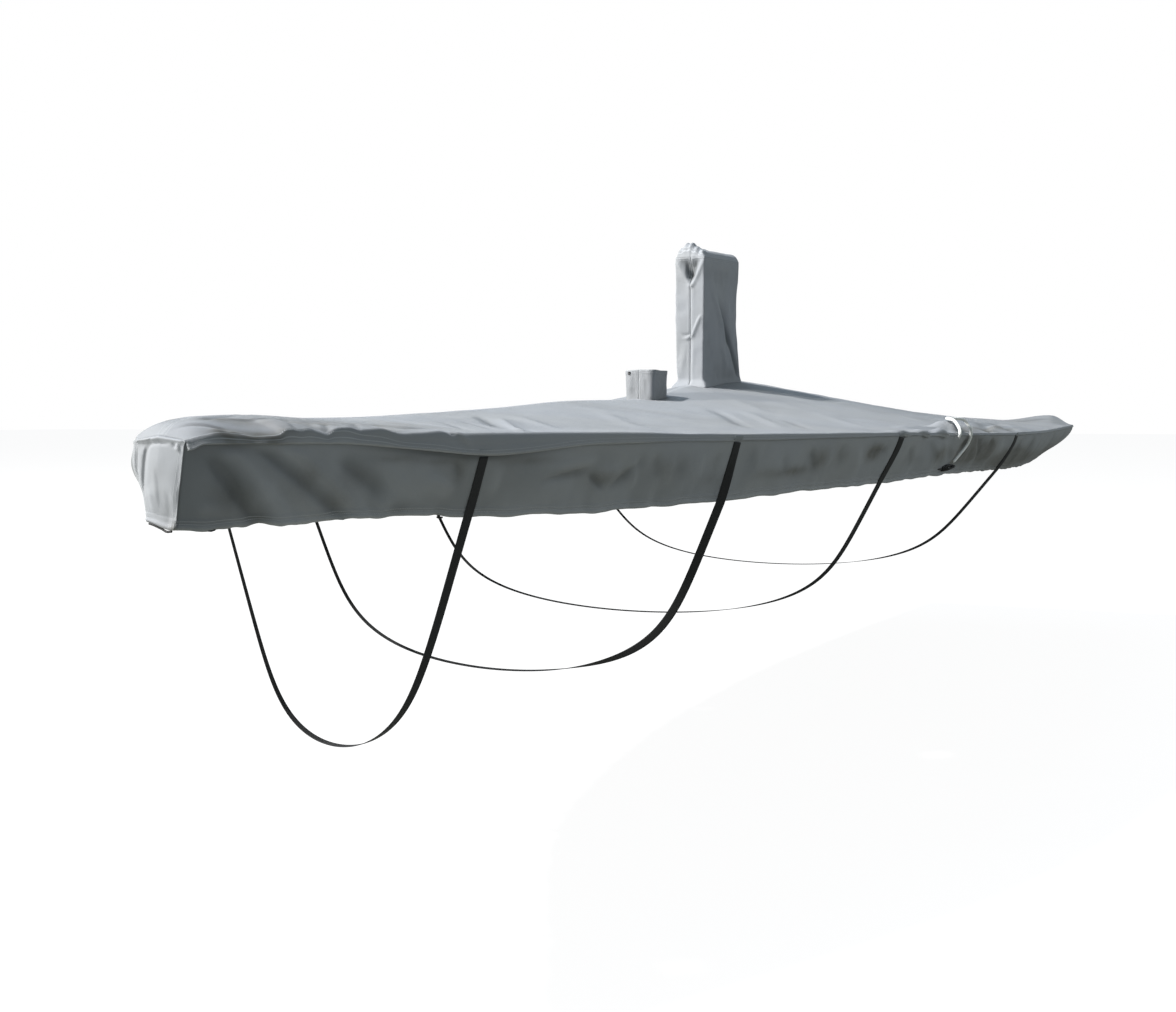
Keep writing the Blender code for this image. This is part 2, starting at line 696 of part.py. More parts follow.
def make_tie(material, collection):
    """The cord that draws the cloth in round the port side stay."""
    route = [to_frame(aft, out, height, -1) for aft, out, height in TIE_ROUTE]
    return tube("shroud_tie", smooth_route(route, 2.4 * TIE_DIAMETER), TIE_DIAMETER, material, collection)


def make_tie_knot(material, collection):
    """The black knot at the hem that the tie comes out of."""
    bm = bmesh.new()
    bmesh.ops.create_uvsphere(bm, u_segments=10, v_segments=7, radius=0.5)
    bmesh.ops.scale(bm, vec=KNOT_SIZE, verts=bm.verts)
    obj = add_object("tie_knot", bm, material, collection)
    obj.location = to_frame(*KNOT_PLACE, -1)
    obj.rotation_euler = (0.0, math.radians(KNOT_LEAN[0]), -math.radians(KNOT_LEAN[1]))
    return obj


def make_hem_cord(name, aft, length, stand, material, collection):
    """A short stretch of the hem's draw cord that shows below the skirt on the port side."""
    points = []
    for n in range(5):
        place = aft + length * (n / 4.0 - 0.5)
        out = skirt_out(place, 1.0) + fold_lift(place, 1.0, PORT_FOLDS) + stand
        sag = 0.002 * math.sin(math.pi * n / 4.0)
        points.append(to_frame(place, out, skirt_height(place, 1.0) - 0.0010 - sag, -1))
    return tube(name, points, HEM_CORD_DIAMETER, material, collection, resolution=1)


def make_nose_cord(material, collection):
    """The bunched draw cord at the foot of the nose panel."""
    half = section("breadth", 0.0) - section("tuck", 0.0)
    low = section("gunwale", 0.0) - section("drop", 0.0) - 0.0026
    points = []
    for n in range(9):
        across = n / 8.0
        sag = 0.003 * math.sin(3.0 * math.pi * across)
        points.append(Vector((-0.006 - LENGTH / 2.0, half * (0.85 - 1.7 * across), low - abs(sag))))
    return tube("hem_cord_nose", points, HEM_CORD_DIAMETER, material, collection, resolution=1)


def make_collar_snap(material, collection):
    """The small press stud at the collar's rim."""
    bm = bmesh.new()
    bmesh.ops.create_cone(bm, cap_ends=True, segments=10, radius1=0.0065, radius2=0.005, depth=0.004)
    obj = add_object("collar_snap", bm, material, collection)
    front = COLLAR["front"] - LENGTH / 2.0
    obj.location = (front - 0.0036, 0.038, COLLAR["rim"] - 0.012)
    obj.rotation_euler = (0.0, math.radians(-90.0), 0.0)
    return obj


def build():
    clear_scene()
    cover = new_collection("boat_cover")
    cloth = finish_material("cover_cloth", CLOTH_GREY, 0.75)
    webbing = finish_material("strap_webbing", WEBBING_BLACK, 0.6)
    tab = finish_material("tab_webbing", TAB_GREY, 0.7)
    cord = finish_material("tie_cord", CORD_WHITE, 0.6)
    black_cord = finish_material("black_cord", WEBBING_BLACK, 0.5)
    stud = finish_material("snap_stud", STUD_BLACK, 0.3)
    for side, folds in ((-1, PORT_FOLDS), (1, STARBOARD_FOLDS)):
        make_top(side, cloth, cover)
        make_skirt(side, folds, cloth, cover)
        for row in STRAPS:
            make_tab(row, side, tab, cover)
    make_end_panel("nose_panel", 0.0, -1, 8, 8, 0.016, cloth, cover)
    make_end_panel("stern_panel", LENGTH, 1, 20, 5, 0.025, cloth, cover)
    make_collar(cloth, cover)
    make_collar_snap(stud, cover)
    make_hood_wall(cloth, cover)
    make_hood_top(cloth, cover)
    for row in STRAPS:
        make_strap(row, webbing, cover)
    make_tie(cord, cover)
    make_tie_knot(black_cord, cover)
    make_nose_cord(black_cord, cover)
    make_hem_cord("hem_cord_bow", 0.065, 0.022, 0.0031, black_cord, cover)
    make_hem_cord("hem_cord_fore", 0.605, 0.018, 0.0032, black_cord, cover)


build()
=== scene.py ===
# %% [markdown]
# # A fitted cloth cover for a small keelboat
#
# The cover closes a boat's deck while the mast stays up. Its top rises to a ridge and rolls over the
# gunwale, a skirt hangs from the roll, a collar stands round the mast and a tall hood stands over the
# lifted keel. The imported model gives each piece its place; this notebook gives each one its look.
# Units are metres: X runs aft, Y to starboard and Z up, and the origin is at gunwale level amidships.

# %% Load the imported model
import math

import bpy
import numpy as np
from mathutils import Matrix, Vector


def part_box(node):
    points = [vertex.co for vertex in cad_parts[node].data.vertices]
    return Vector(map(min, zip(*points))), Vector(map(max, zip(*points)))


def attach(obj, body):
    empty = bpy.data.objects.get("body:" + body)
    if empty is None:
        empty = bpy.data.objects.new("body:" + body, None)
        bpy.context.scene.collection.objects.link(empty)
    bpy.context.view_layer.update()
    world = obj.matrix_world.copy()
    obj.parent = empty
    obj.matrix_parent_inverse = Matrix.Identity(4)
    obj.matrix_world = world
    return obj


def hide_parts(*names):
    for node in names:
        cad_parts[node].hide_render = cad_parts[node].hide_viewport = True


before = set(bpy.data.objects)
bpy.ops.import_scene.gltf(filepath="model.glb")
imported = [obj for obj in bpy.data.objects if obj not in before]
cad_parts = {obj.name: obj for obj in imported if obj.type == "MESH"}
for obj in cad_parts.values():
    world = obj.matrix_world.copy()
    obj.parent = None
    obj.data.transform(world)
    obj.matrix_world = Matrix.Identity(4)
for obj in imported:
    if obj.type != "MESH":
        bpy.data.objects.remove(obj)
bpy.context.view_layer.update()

# %% [markdown]
# ## The camera
# A camera is an eye point, a direction and a lens. The eye stands ahead of the bow on the port side,
# a little above the gunwale, and looks along the hull. The lens is given in pixels of the render and
# turned into millimetres for a 36 mm sensor, so the framing stays the same at any render size.

# %% Camera
def put_in_scene(name, data):
    """A new object that is linked to the scene."""
    made = bpy.data.objects.new(name, data)
    bpy.context.scene.collection.objects.link(made)
    return made


IMAGE_WIDTH = 1176
FOCAL_PIXELS = 1500.0
HORIZON_ABOVE_MIDDLE = 89.0
SENSOR_WIDTH = 36.0
EYE = Vector((-6.284, -2.195, 0.049))
YAW = math.radians(25.0)
PITCH = math.atan(HORIZON_ABOVE_MIDDLE / FOCAL_PIXELS)

lens = bpy.data.cameras.new("studio_camera")
lens.sensor_fit = "HORIZONTAL"
lens.sensor_width = SENSOR_WIDTH
lens.lens = FOCAL_PIXELS / IMAGE_WIDTH * SENSOR_WIDTH
lens.clip_end = 300.0
camera = put_in_scene("studio_camera", lens)
camera.location = EYE
gaze = Vector((math.cos(YAW) * math.cos(PITCH), math.sin(YAW) * math.cos(PITCH), -math.sin(PITCH)))
camera.rotation_euler = gaze.to_track_quat("-Z", "Y").to_euler()
bpy.context.scene.camera = camera
print("lens", round(lens.lens, 2), "mm")

# %% [markdown]
# ## Shader maths as plain sums
# A finish is a small program made of nodes. The class below wraps one socket, so that `1 - mask` or
# `wave * 0.3` adds the Math node that does it. Colours and vectors would turn grey in a Math node, so
# they go through Mix and Vector Math. Every other node comes from one method.

# %% Wire: one socket of the finish being made
class Wire:
    """A socket that can be used in sums."""

    tree = None

    def __init__(self, socket):
        self.socket = socket

    @classmethod
    def node(cls, kind, settings=None, sockets=None, output=0):
        """A new node: its settings first, then its sockets, as values or as links."""
        made = cls.tree.nodes.new("ShaderNode" + kind)
        for name, value in (settings or {}).items():
            setattr(made, name, value)
        for name, value in (sockets or {}).items():
            if isinstance(value, Wire):
                cls.tree.links.new(value.socket, made.inputs[name])
            else:
                made.inputs[name].default_value = value
        return cls(made.outputs[output])

    @classmethod
    def maths(cls, operation, *values, clamp=False):
        return cls.node("Math", {"operation": operation, "use_clamp": clamp}, dict(enumerate(values)))

    def __add__(self, other):
        return self.maths("ADD", self, other)

    __radd__ = __add__

    def __sub__(self, other):
        return self.maths("SUBTRACT", self, other)

    def __rsub__(self, other):
        return self.maths("SUBTRACT", other, self)

    def __mul__(self, other):
        return self.maths("MULTIPLY", self, other)

    __rmul__ = __mul__

    def __truediv__(self, other):
        return self.maths("DIVIDE", self, other)

    def __abs__(self):
        return self.maths("ABSOLUTE", self)

    def sine(self):
        return self.maths("SINE", self)

    def clamped(self):
        return self.maths("ADD", self, 0.0, clamp=True)

    def wrapped(self, length):
        return self.maths("WRAP", self, length, 0.0)

    def under(self, limit, soft):
        """1 below the limit and 0 above it, with a soft step."""
        return self.node("MapRange", {"interpolation_type": "SMOOTHSTEP"},
                         {"Value": self, "From Min": limit - soft, "From Max": limit + soft,
                          "To Min": 1.0, "To Max": 0.0})


def mixed(share, first, second, blend="MIX"):
    """Two colours mixed by a share."""
    return Wire.node("Mix", {"data_type": "RGBA", "blend_type": blend},
                     {0: share, 6: first, 7: second}, output=2)


def grey(value):
    """A grey as a colour."""
    return (value, value, value, 1.0)


print("wire ready")

# %% [markdown]
# ## The cut of the cover
# A cover is cut from flat panels, and the hull under it gives it its shape. The sections below are
# taken across the boat, from the nose aft: how wide it is, how high its ridge stands, where its gunwale
# lies, how deep the rolled edge is and how far the skirt hangs. A smooth curve through each column
# gives the shape anywhere. The maths works on whole arrays, so a fine mesh is made in a moment.

# %% Sections along the hull
LENGTH = 7.50
CLOTH = 0.0018
GAP = 0.0003
SIDE_NAMES = {-1: "port", 1: "starboard"}
SECTION_COLUMNS = ("aft", "breadth", "ridge", "gunwale", "crown", "drop", "tuck", "roll")
SECTIONS = np.array((
    (0.00, 0.066, 0.010, 0.000, 0.000, 0.194, 0.028, 0.010),
    (0.04, 0.096, 0.035, 0.000, 0.008, 0.195, 0.032, 0.010),
    (0.12, 0.137, 0.051, 0.001, 0.012, 0.194, 0.040, 0.011),
    (0.29, 0.226, 0.055, 0.002, 0.010, 0.193, 0.052, 0.013),
    (0.50, 0.340, 0.047, 0.003, 0.009, 0.190, 0.062, 0.032),
    (0.68, 0.432, 0.048, 0.003, 0.007, 0.200, 0.067, 0.048),
    (1.00, 0.580, 0.057, 0.004, 0.004, 0.204, 0.066, 0.025),
    (1.50, 0.765, 0.077, 0.000, 0.001, 0.194, 0.062, 0.019),
    (2.00, 0.890, 0.103, -0.001, 0.000, 0.181, 0.070, 0.016),
    (2.60, 0.998, 0.116, -0.002, 0.000, 0.177, 0.081, 0.014),
    (3.12, 1.060, 0.177, -0.008, 0.000, 0.164, 0.085, 0.013),
    (3.62, 1.086, 0.210, -0.013, 0.000, 0.161, 0.088, 0.012),
    (4.30, 1.100, 0.188, -0.018, 0.000, 0.168, 0.092, 0.012),
    (5.20, 1.078, 0.144, -0.019, -0.001, 0.180, 0.115, 0.012),
    (5.90, 1.045, 0.113, -0.014, -0.002, 0.186, 0.140, 0.012),
    (6.70, 0.996, 0.084, -0.007, -0.002, 0.190, 0.172, 0.012),
    (7.50, 0.942, 0.062, -0.001, 0.000, 0.190, 0.200, 0.012),
))
STAY_SLOT = {"aft": 0.29, "length": 0.05, "half_width": 0.012}
SHROUD = {"aft": 3.235, "length": 0.04, "inner": 0.9645, "outer": 0.9835, "lift": 0.038, "reach": 0.120}
COLLAR = {"front": 2.62, "back": 2.77, "half_width": 0.058, "rim": 0.224, "corner": 0.022}
HOOD = {"front": 3.150, "back": 3.605, "half_width": 0.056, "rim": 0.690, "corner": 0.008}
CORNER_PAD = {"lift": 0.052, "length": 0.75, "share": 0.86, "inner_reach": 0.34, "outer_reach": 0.14}
# where a strap crosses, how deep the hull is there, how its section flares and turns, how many degrees
# the webbing is twisted at the seam and at the hem, and how far its lower end leans aft
STRAPS = {
    "bow": {"aft": 0.662, "depth": 0.80, "flare": 0.60, "turn": 12.0, "twist": (0.0, -4.0), "slant": 0.016},
    "fore": {"aft": 1.52, "depth": 0.73, "flare": 0.38, "turn": 9.0, "twist": (-14.0, -50.0), "slant": 0.0},
    "mid": {"aft": 2.57, "depth": 0.67, "flare": 0.34, "turn": 9.0, "twist": (-22.0, -14.0), "slant": 0.0},
    "aft": {"aft": 4.30, "depth": 0.63, "flare": 0.44, "turn": 10.0, "twist": (-16.0, -22.0), "slant": 0.0},
}
print("sections:", len(SECTIONS), "straps:", len(STRAPS))

# %% Smooth curves along the hull
def smooth_between(places, values, at):
    """Cubic curve through a table's values, with limited slopes so that it never overshoots."""
    places = np.asarray(places, float)
    values = np.asarray(values, float)
    at = np.clip(at, places[0], places[-1])
    span = np.diff(places)
    rise = np.diff(values) / span
    before = rise[:-1]
    after = rise[1:]
    same_way = before * after > 0.0
    slope = np.empty_like(values)
    slope[0] = rise[0]
    slope[-1] = rise[-1]
    slope[1:-1] = np.where(same_way, 2.0 * before * after / np.where(same_way, before + after, 1.0), 0.0)
    k = np.clip(np.searchsorted(places, at) - 1, 0, len(places) - 2)
    t = (at - places[k]) / span[k]
    gain = values[k + 1] - values[k]
    start = slope[k] * span[k]
    end = slope[k + 1] * span[k]
    return values[k] + t * (start + t * ((3.0 * gain - 2.0 * start - end) + t * (start + end - 2.0 * gain)))


def section(name, aft):
    """A section value at any places along the hull."""
    return smooth_between(SECTIONS[:, 0], SECTIONS[:, SECTION_COLUMNS.index(name)], aft)


def hill(distance, reach):
    """A smooth hill, 1 in its middle and 0 from its reach outward."""
    return 0.5 + 0.5 * np.cos(np.pi * np.clip(distance / reach, -1.0, 1.0))


def swell(value, height, middle, reach):
    """A hill of a height round a middle."""
    return height * hill(value - middle, reach)


def bell(distance, reach):
    """A bell, 1 in its middle, that fades out without an edge."""
    return np.exp(-(distance / reach) ** 2)


def soft_step(value, low, high):
    """0 below low and 1 above high, with a smooth rise between."""
    t = np.clip((value - low) / (high - low), 0.0, 1.0)
    return t * t * (3.0 - 2.0 * t)


def clear_of_ends(aft, bow, stern):
    """0 at the two ends of the cover and 1 beyond a reach from each."""
    return np.clip(np.minimum(aft / bow, (LENGTH - aft) / stern), 0.0, 1.0)


def in_frame(aft, out, height, side):
    """Points in the part's frame; side is -1 to port and +1 to starboard."""
    aft, out, height = np.broadcast_arrays(aft, out, height)
    return np.stack([aft - LENGTH / 2.0, side * out, height], -1)


print("half breadth amidships", round(float(section("breadth", LENGTH / 2.0)), 3))

# %% Shape of the top, the roll and the skirts
ROLL_BULGE = 0.007
ROLL_DEEPEST = 0.05
STAY_EASE = 0.015
STRAP_HALF = 0.02
HEM_WAVES = ((0.0014, 23.0, 0.0), (0.0010, 51.0, 1.0))


def top_height(aft, out):
    """Height of the top's outer face at a distance out from the centreline."""
    breadth = section("breadth", aft)
    gunwale = section("gunwale", aft)
    share = np.minimum(out / breadth, 1.0)
    height = gunwale + (section("ridge", aft) - gunwale) * (1.0 - share)
    height = height + section("crown", aft) * 4.0 * share * (1.0 - share)
    # a cleat under the cloth lifts each stern corner
    pad = CORNER_PAD
    reach = np.where(share < pad["share"], pad["inner_reach"], pad["outer_reach"])
    height = height + pad["lift"] * hill(aft - LENGTH, pad["length"]) * hill(share - pad["share"], reach)
    # the cloth is drawn up round each side stay
    middle = breadth * 0.5 * (SHROUD["inner"] + SHROUD["outer"])
    away = np.hypot(aft - SHROUD["aft"], out - middle)
    return height + SHROUD["lift"] * hill(away, SHROUD["reach"]) * np.minimum(1.0, (1.0 - share) / STAY_EASE)


def roll_point(aft, share):
    """A point of the rolled edge: 0 at the gunwale's crease, 1 at its lower edge."""
    depth = section("roll", aft)
    stand = ROLL_BULGE * np.sqrt(depth / ROLL_DEEPEST) * np.sin(np.pi * share ** 0.8)
    return section("breadth", aft) + stand, section("gunwale", aft) - depth * share


def away_from_straps(aft, inner, reach):
    """0 under a strap, which holds the cloth flat, and 1 away from all of them."""
    free = np.ones_like(aft)
    for strap in STRAPS.values():
        free = free * (1.0 - hill(np.maximum(np.abs(aft - strap["aft"]) - inner, 0.0), reach))
    return free


def fold_lift(aft, share, folds):
    """How far the main folds push a skirt outboard."""
    lift = np.zeros_like(aft)
    for at_roll, at_hem, height, width in np.array(folds) / 1000.0:
        lift += swell(aft, height, at_roll + (at_hem - at_roll) * share, 2.0 * width)
    start = np.sin(0.5 * np.pi * np.minimum(1.0, 1.6 * share)) ** 1.5
    return lift * away_from_straps(aft, STRAP_HALF, 0.11) * clear_of_ends(aft, 0.06, 0.10) * start


def skirt_out(aft, share):
    """Distance out of the skirt's smooth outer face, 0 at the seam and 1 at the hem."""
    roundness = 1.0 + 0.7 * aft / LENGTH
    return section("breadth", aft) - section("tuck", aft) * share ** roundness


def skirt_height(aft, share):
    """Height of the skirt's rows, with a slightly wavy hem between the straps."""
    top = section("gunwale", aft) - section("roll", aft) - GAP
    hem = section("gunwale", aft) - section("drop", aft)
    wave = sum(height * np.sin(turns * aft + start) for height, turns, start in HEM_WAVES)
    wave = wave * away_from_straps(aft, STRAP_HALF, 0.08)
    return top + (hem + wave * clear_of_ends(aft, 0.1, 0.1) - top) * share


print("ridge at the mast", round(float(top_height(np.array(2.7), np.array(0.0))), 3))

# %% [markdown]
# ## Folds from a table
# The sewn shape decides where a cover creases: from the corners of the nose down to the hem, round the
# stay, under the straps. Each fold is one row of a table in millimetres: the start, bend and end of a
# line across the unrolled cloth, its height and its half width, then how much steeper one side is. Both
# ends fade out unless a last word names which do. The unrolled cloth is measured aft from the nose and
# down from the gunwale, so places on the top have a minus. A smooth random surface adds small waves.

# %% Helpers for folds
def fold_lines(aft, down, rows):
    """Height of the listed folds at points of the unrolled cloth."""
    total = np.zeros_like(aft)
    t = np.linspace(0.0, 1.0, 13)
    for start, bend, end, lift, width, lean, *fading in rows:
        ends = fading[0] if fading else "both"
        start, bend, end = np.array((start, bend, end)) / 1000.0
        width = width / 1000.0
        line_aft = (1 - t) ** 2 * start[0] + 2 * t * (1 - t) * bend[0] + t * t * end[0]
        line_down = (1 - t) ** 2 * start[1] + 2 * t * (1 - t) * bend[1] + t * t * end[1]
        near = ((aft > line_aft.min() - 3 * width) & (aft < line_aft.max() + 3 * width)
                & (down > line_down.min() - 3 * width) & (down < line_down.max() + 3 * width))
        if not near.any():
            continue
        x = aft[near][:, None]
        y = down[near][:, None]
        step_aft = np.diff(line_aft)
        step_down = np.diff(line_down)
        size = step_aft ** 2 + step_down ** 2
        share = np.clip(((x - line_aft[:-1]) * step_aft + (y - line_down[:-1]) * step_down) / size, 0.0, 1.0)
        off_aft = x - (line_aft[:-1] + share * step_aft)
        off_down = y - (line_down[:-1] + share * step_down)
        distance = np.hypot(off_aft, off_down)
        best = distance.argmin(1)
        pick = (np.arange(len(best)), best)
        side = np.sign(step_aft[best] * off_down[pick] - step_down[best] * off_aft[pick])
        along = (best + share[pick]) / len(step_aft)
        fade = np.ones_like(along)
        if ends in ("both", "start"):
            fade = fade * soft_step(along, 0.0, 0.35)
        if ends in ("both", "end"):
            fade = fade * soft_step(1.0 - along, 0.0, 0.35)
        total[near] += lift / 1000.0 * fade * bell(distance[pick], width * (1.0 + lean * side))
    return total


def soil_patches(x, y, rows):
    """Soft blotches of dirt: each row is a centre and two half sizes in millimetres, and a strength."""
    total = np.zeros_like(x)
    for *spot, strength in rows:
        centre_x, centre_y, reach_x, reach_y = np.array(spot) / 1000.0
        total += strength * np.exp(-((x - centre_x) / reach_x) ** 2 - ((y - centre_y) / reach_y) ** 2)
    return np.clip(total, 0.0, 1.0)


level_fold = ((-50, 0), (0, 0), (50, 0), 5, 9, 0, "none")
fold_check = fold_lines(np.zeros(1), np.zeros(1), (level_fold,))
print("a 5 mm fold stands", round(float(fold_check[0]) * 1000, 1), "mm")

# %% Small waves and normals
LATTICE = 61


def waves(x, y, size, seed):
    """Smooth random waves from -1 to 1, with hills about one size across."""
    lattice = np.random.default_rng(seed).uniform(-1.0, 1.0, (LATTICE, LATTICE))
    gx = x / size + 200.0
    gy = y / size + 200.0
    ix = np.floor(gx).astype(int)
    iy = np.floor(gy).astype(int)
    fx = gx - ix
    fy = gy - iy
    fx = fx ** 3 * (fx * (fx * 6.0 - 15.0) + 10.0)
    fy = fy ** 3 * (fy * (fy * 6.0 - 15.0) + 10.0)
    ix, iy, next_x, next_y = ix % LATTICE, iy % LATTICE, (ix + 1) % LATTICE, (iy + 1) % LATTICE
    low = lattice[ix, iy] * (1 - fx) + lattice[next_x, iy] * fx
    high = lattice[ix, next_y] * (1 - fx) + lattice[next_x, next_y] * fx
    return low * (1 - fy) + high * fy


def slack_waves(x, y, rows, seed):
    """The waves of slack cloth, from rows of height, size and how far y is squeezed."""
    return sum(height * waves(x, y * squeeze, size, seed + k)
               for k, (height, size, squeeze) in enumerate(rows))


def outward(points, inside):
    """Unit normals of a grid of points, turned away from a point inside the cover."""
    along = np.gradient(points, axis=0)
    across = np.gradient(points, axis=1)
    normal = np.cross(along, across)
    normal /= np.maximum(np.linalg.norm(normal, axis=-1, keepdims=True), 1e-12)
    if (normal * (points - np.asarray(inside))).sum() < 0.0:
        normal = -normal
    return normal


print("wave check", round(float(waves(np.array([0.3]), np.array([0.7]), 0.1, 1)[0]), 3))

# %% [markdown]
# ## Cloth as a mesh
# Each panel is a grid of points with thickness added by a Solidify modifier, which is how thin cloth is
# usually made. Two sets of texture places go with it: `cloth` is the flat cloth in metres, which keeps
# the weave to its true size, and `seam` is the distance along and away from the nearest sewn edge,
# which puts the stitches where a sewing machine would.

# %% Sheets
INSIDE = (0.0, 0.0, -0.25)


def new_piece(name, mesh, finish):
    """A piece of the cover from its mesh and finish."""
    mesh.shade_smooth()
    mesh.materials.append(finish)
    piece = put_in_scene(name, mesh)
    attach(piece, "root")
    return piece


def sheet_mesh(name, points, cloth_places, seam_places, finish,
               inside=INSIDE, thickness=CLOTH, skip=None, lift=None, soil=None):
    """One cloth panel from a grid of outer points."""
    rows, columns = points.shape[:2]
    index = np.arange(rows * columns).reshape(rows, columns)
    quads = np.stack([index[:-1, :-1], index[:-1, 1:], index[1:, 1:], index[1:, :-1]], -1)
    normal = np.cross(points[1:, :-1] - points[:-1, :-1], points[:-1, 1:] - points[:-1, :-1])
    if (normal * (points[:-1, :-1] - np.asarray(inside))).sum() > 0.0:
        quads = quads[..., ::-1]
    quads = quads.reshape(-1, 4)
    if skip is not None:
        quads = quads[~skip.reshape(-1)]
    mesh = bpy.data.meshes.new(name)
    mesh.from_pydata(points.reshape(-1, 3).tolist(), [], quads.tolist())
    corners = np.empty(len(mesh.loops), int)
    mesh.loops.foreach_get("vertex_index", corners)
    for layer, places in (("cloth", cloth_places), ("seam", seam_places)):
        uv = mesh.uv_layers.new(name=layer)
        uv.data.foreach_set("uv", places.reshape(-1, 2)[corners].ravel())
    # rise is the height on the folds, which the finish paints as light and shade; soil is dirt, in a few rows
    # painted shade
    for layer, values in (("rise", lift), ("soil", soil)):
        mark = mesh.attributes.new(layer, "FLOAT", "POINT")
        mark.data.foreach_set("value", np.zeros(rows * columns) if values is None else values.ravel())
    piece = new_piece(name, mesh, finish)
    body = piece.modifiers.new("cloth_thickness", "SOLIDIFY")
    body.thickness = thickness
    body.offset = -1.0
    return piece


def even_places(pitches, special=(), nearest=0.0):
    """Places along the hull from (end, pitch) pairs, with the special ones kept exactly."""
    places = []
    start = 0.0
    for end, pitch in pitches:
        count = round((end - start) / pitch)
        places += [start + (end - start) * n / count for n in range(count)]
        start = end
    places.append(start)
    kept = [p for p in places if all(abs(p - s) > nearest for s in special)]
    return np.array(sorted(kept + list(special)))


print("cloth thickness", CLOTH * 1000, "mm")

# %% [markdown]
# ## The canvas finish
# The cloth is a coated polyester canvas: a plain weave of threads about half a millimetre apart under a
# thin matt coating. Sun and rain leave it uneven, so its grey drifts in broad patches, and it is paler
# where a seam rubs. Its folds get painted shade in the troughs and painted light on the ridges. Each
# panel tells its finish how high a point stands on its folds, for that painted shade and light, and how
# soiled it is. All fine relief is added up as one height in metres and given to a single Bump node.

# %% Shader helpers
def new_finish(name):
    """A fresh material whose Principled shader is ready to be wired."""
    material = bpy.data.materials.new(name)
    material.use_nodes = True
    Wire.tree = material.node_tree
    return material, material.node_tree.nodes["Principled BSDF"]


def feed(shader, socket, value):
    """Link a wire to a shader's socket."""
    Wire.tree.links.new(value.socket, shader.inputs[socket])


def bumped(height):
    """A normal from a height in metres."""
    return Wire.node("Bump", None, {"Strength": 1.0, "Distance": 1.0, "Height": height})


def parts(vector):
    """The x and y of a vector."""
    split = Wire.node("SeparateXYZ", None, {0: vector})
    return split, Wire(split.socket.node.outputs[1])


def noise(vector, scale, detail=2.0, roughness=0.5, distortion=0.0, kind="FBM"):
    """Cloudy variation from 0 to 1."""
    return Wire.node("TexNoise", {"noise_type": kind, "normalize": True},
                     {"Vector": vector, "Scale": scale, "Detail": detail, "Roughness": roughness,
                      "Distortion": distortion})


print("shader helpers ready")

# %% Canvas
THREAD_PITCH = 0.0011
STITCH_ROWS = (0.005, 0.011)
STITCH_LENGTH = 0.0042
STITCH_SHARE = 0.62
# painted shade: fold troughs, and places given as lying lower, are multiplied towards this tone
SHADE_AND_DARKENING_TONE = (0.52, 0.53, 0.52, 1.0)
DIRT_TONE = (0.48, 0.45, 0.39, 1.0)
SUN_TONE = (1.02, 1.0, 0.95, 1.0)
RUBBED_TONE = (0.52, 0.54, 0.55, 1.0)
THREAD_TONE = (0.46, 0.48, 0.50, 1.0)


def stitch_mask(along, away):
    """1 on the threads of the stitch rows."""
    dash = (along.wrapped(STITCH_LENGTH) / STITCH_LENGTH).under(STITCH_SHARE, 0.06)
    rows = None
    for row in STITCH_ROWS:
        line = abs(away - row).under(0.0006, 0.0002)
        rows = line if rows is None else rows + line
    return (rows * dash).clamped()


def canvas_finish(name, pale, dark):
    """Matt coated canvas between two tones of grey."""
    material, shader = new_finish(name)
    place = Wire.node("TexCoord", output=3)
    u, v = parts(Wire.node("UVMap", {"uv_map": "cloth"}))
    along, away = parts(Wire.node("UVMap", {"uv_map": "seam"}))
    rise = Wire.node("Attribute", {"attribute_name": "rise"}, output=2)
    soil = Wire.node("Attribute", {"attribute_name": "soil"}, output=2)

    weave = (u * (2 * math.pi / THREAD_PITCH)).sine() * (v * (2 * math.pi / THREAD_PITCH)).sine()
    drift = noise(place, 1.7, 3.0, 0.55)
    blotch = noise(place, 8.0, 4.0, 0.6, 0.8)
    grain = noise(place, 160.0, 2.0)
    stitches = stitch_mask(along, away)
    rubbed = away.under(0.003, 0.002) * blotch

    # rise adds painted light on the ridges of the folds and painted shade in their troughs
    tone = (drift * 0.55 + blotch * 0.35 + grain * 0.10 + rise * 14.0 - weave * 0.03).clamped()
    colour = mixed(tone, dark, pale)
    shade_and_darkening = (rise * -75.0).clamped()
    colour = mixed(shade_and_darkening, colour, SHADE_AND_DARKENING_TONE, "MULTIPLY")
    mottle = (soil * (noise(place, 30.0, 4.0, 0.65) * 1.1 + 0.35)).clamped()
    colour = mixed(mottle, colour, DIRT_TONE, "MULTIPLY")
    warm = mixed(noise(place, 3.1, 2.0).under(0.5, 0.12) * 0.5, grey(1.0), SUN_TONE)
    colour = mixed(1.0, colour, warm, "MULTIPLY")
    colour = mixed(rubbed * 0.35, colour, RUBBED_TONE)
    colour = mixed(stitches * 0.8, colour, THREAD_TONE)
    feed(shader, "Base Color", colour)
    feed(shader, "Roughness", (0.60 + blotch * 0.16 + stitches * 0.1).clamped())

    crease = noise(place, 5.5, 3.0, 0.5, 0.6, "RIDGED_MULTIFRACTAL")
    crumple = noise(place, 24.0, 3.0, 0.55, 0.4)
    pucker = noise(place, 90.0, 1.0) * away.under(0.016, 0.006)
    relief = (weave * 0.00005 + crease * 0.0011 + crumple * 0.0007 + pucker * 0.0006 + stitches * 0.0004)
    feed(shader, "Normal", bumped(relief))
    shader.inputs["Specular IOR Level"].default_value = 0.35
    shader.inputs["Sheen Weight"].default_value = 0.10
    shader.inputs["Sheen Roughness"].default_value = 0.5
    return material


canvas = canvas_finish("cover_canvas", (0.335, 0.350, 0.371, 1.0), (0.226, 0.239, 0.260, 1.0))
# the top's copy of the same canvas has darker tones: painted shade, so the top looks less lit than the nose
# and the hood's front
top_canvas_shaded = canvas_finish("cover_canvas_painted_shade", (0.292, 0.305, 0.324, 1.0), (0.197, 0.209, 0.228, 1.0))
print("canvas nodes:", len(canvas.node_tree.nodes))

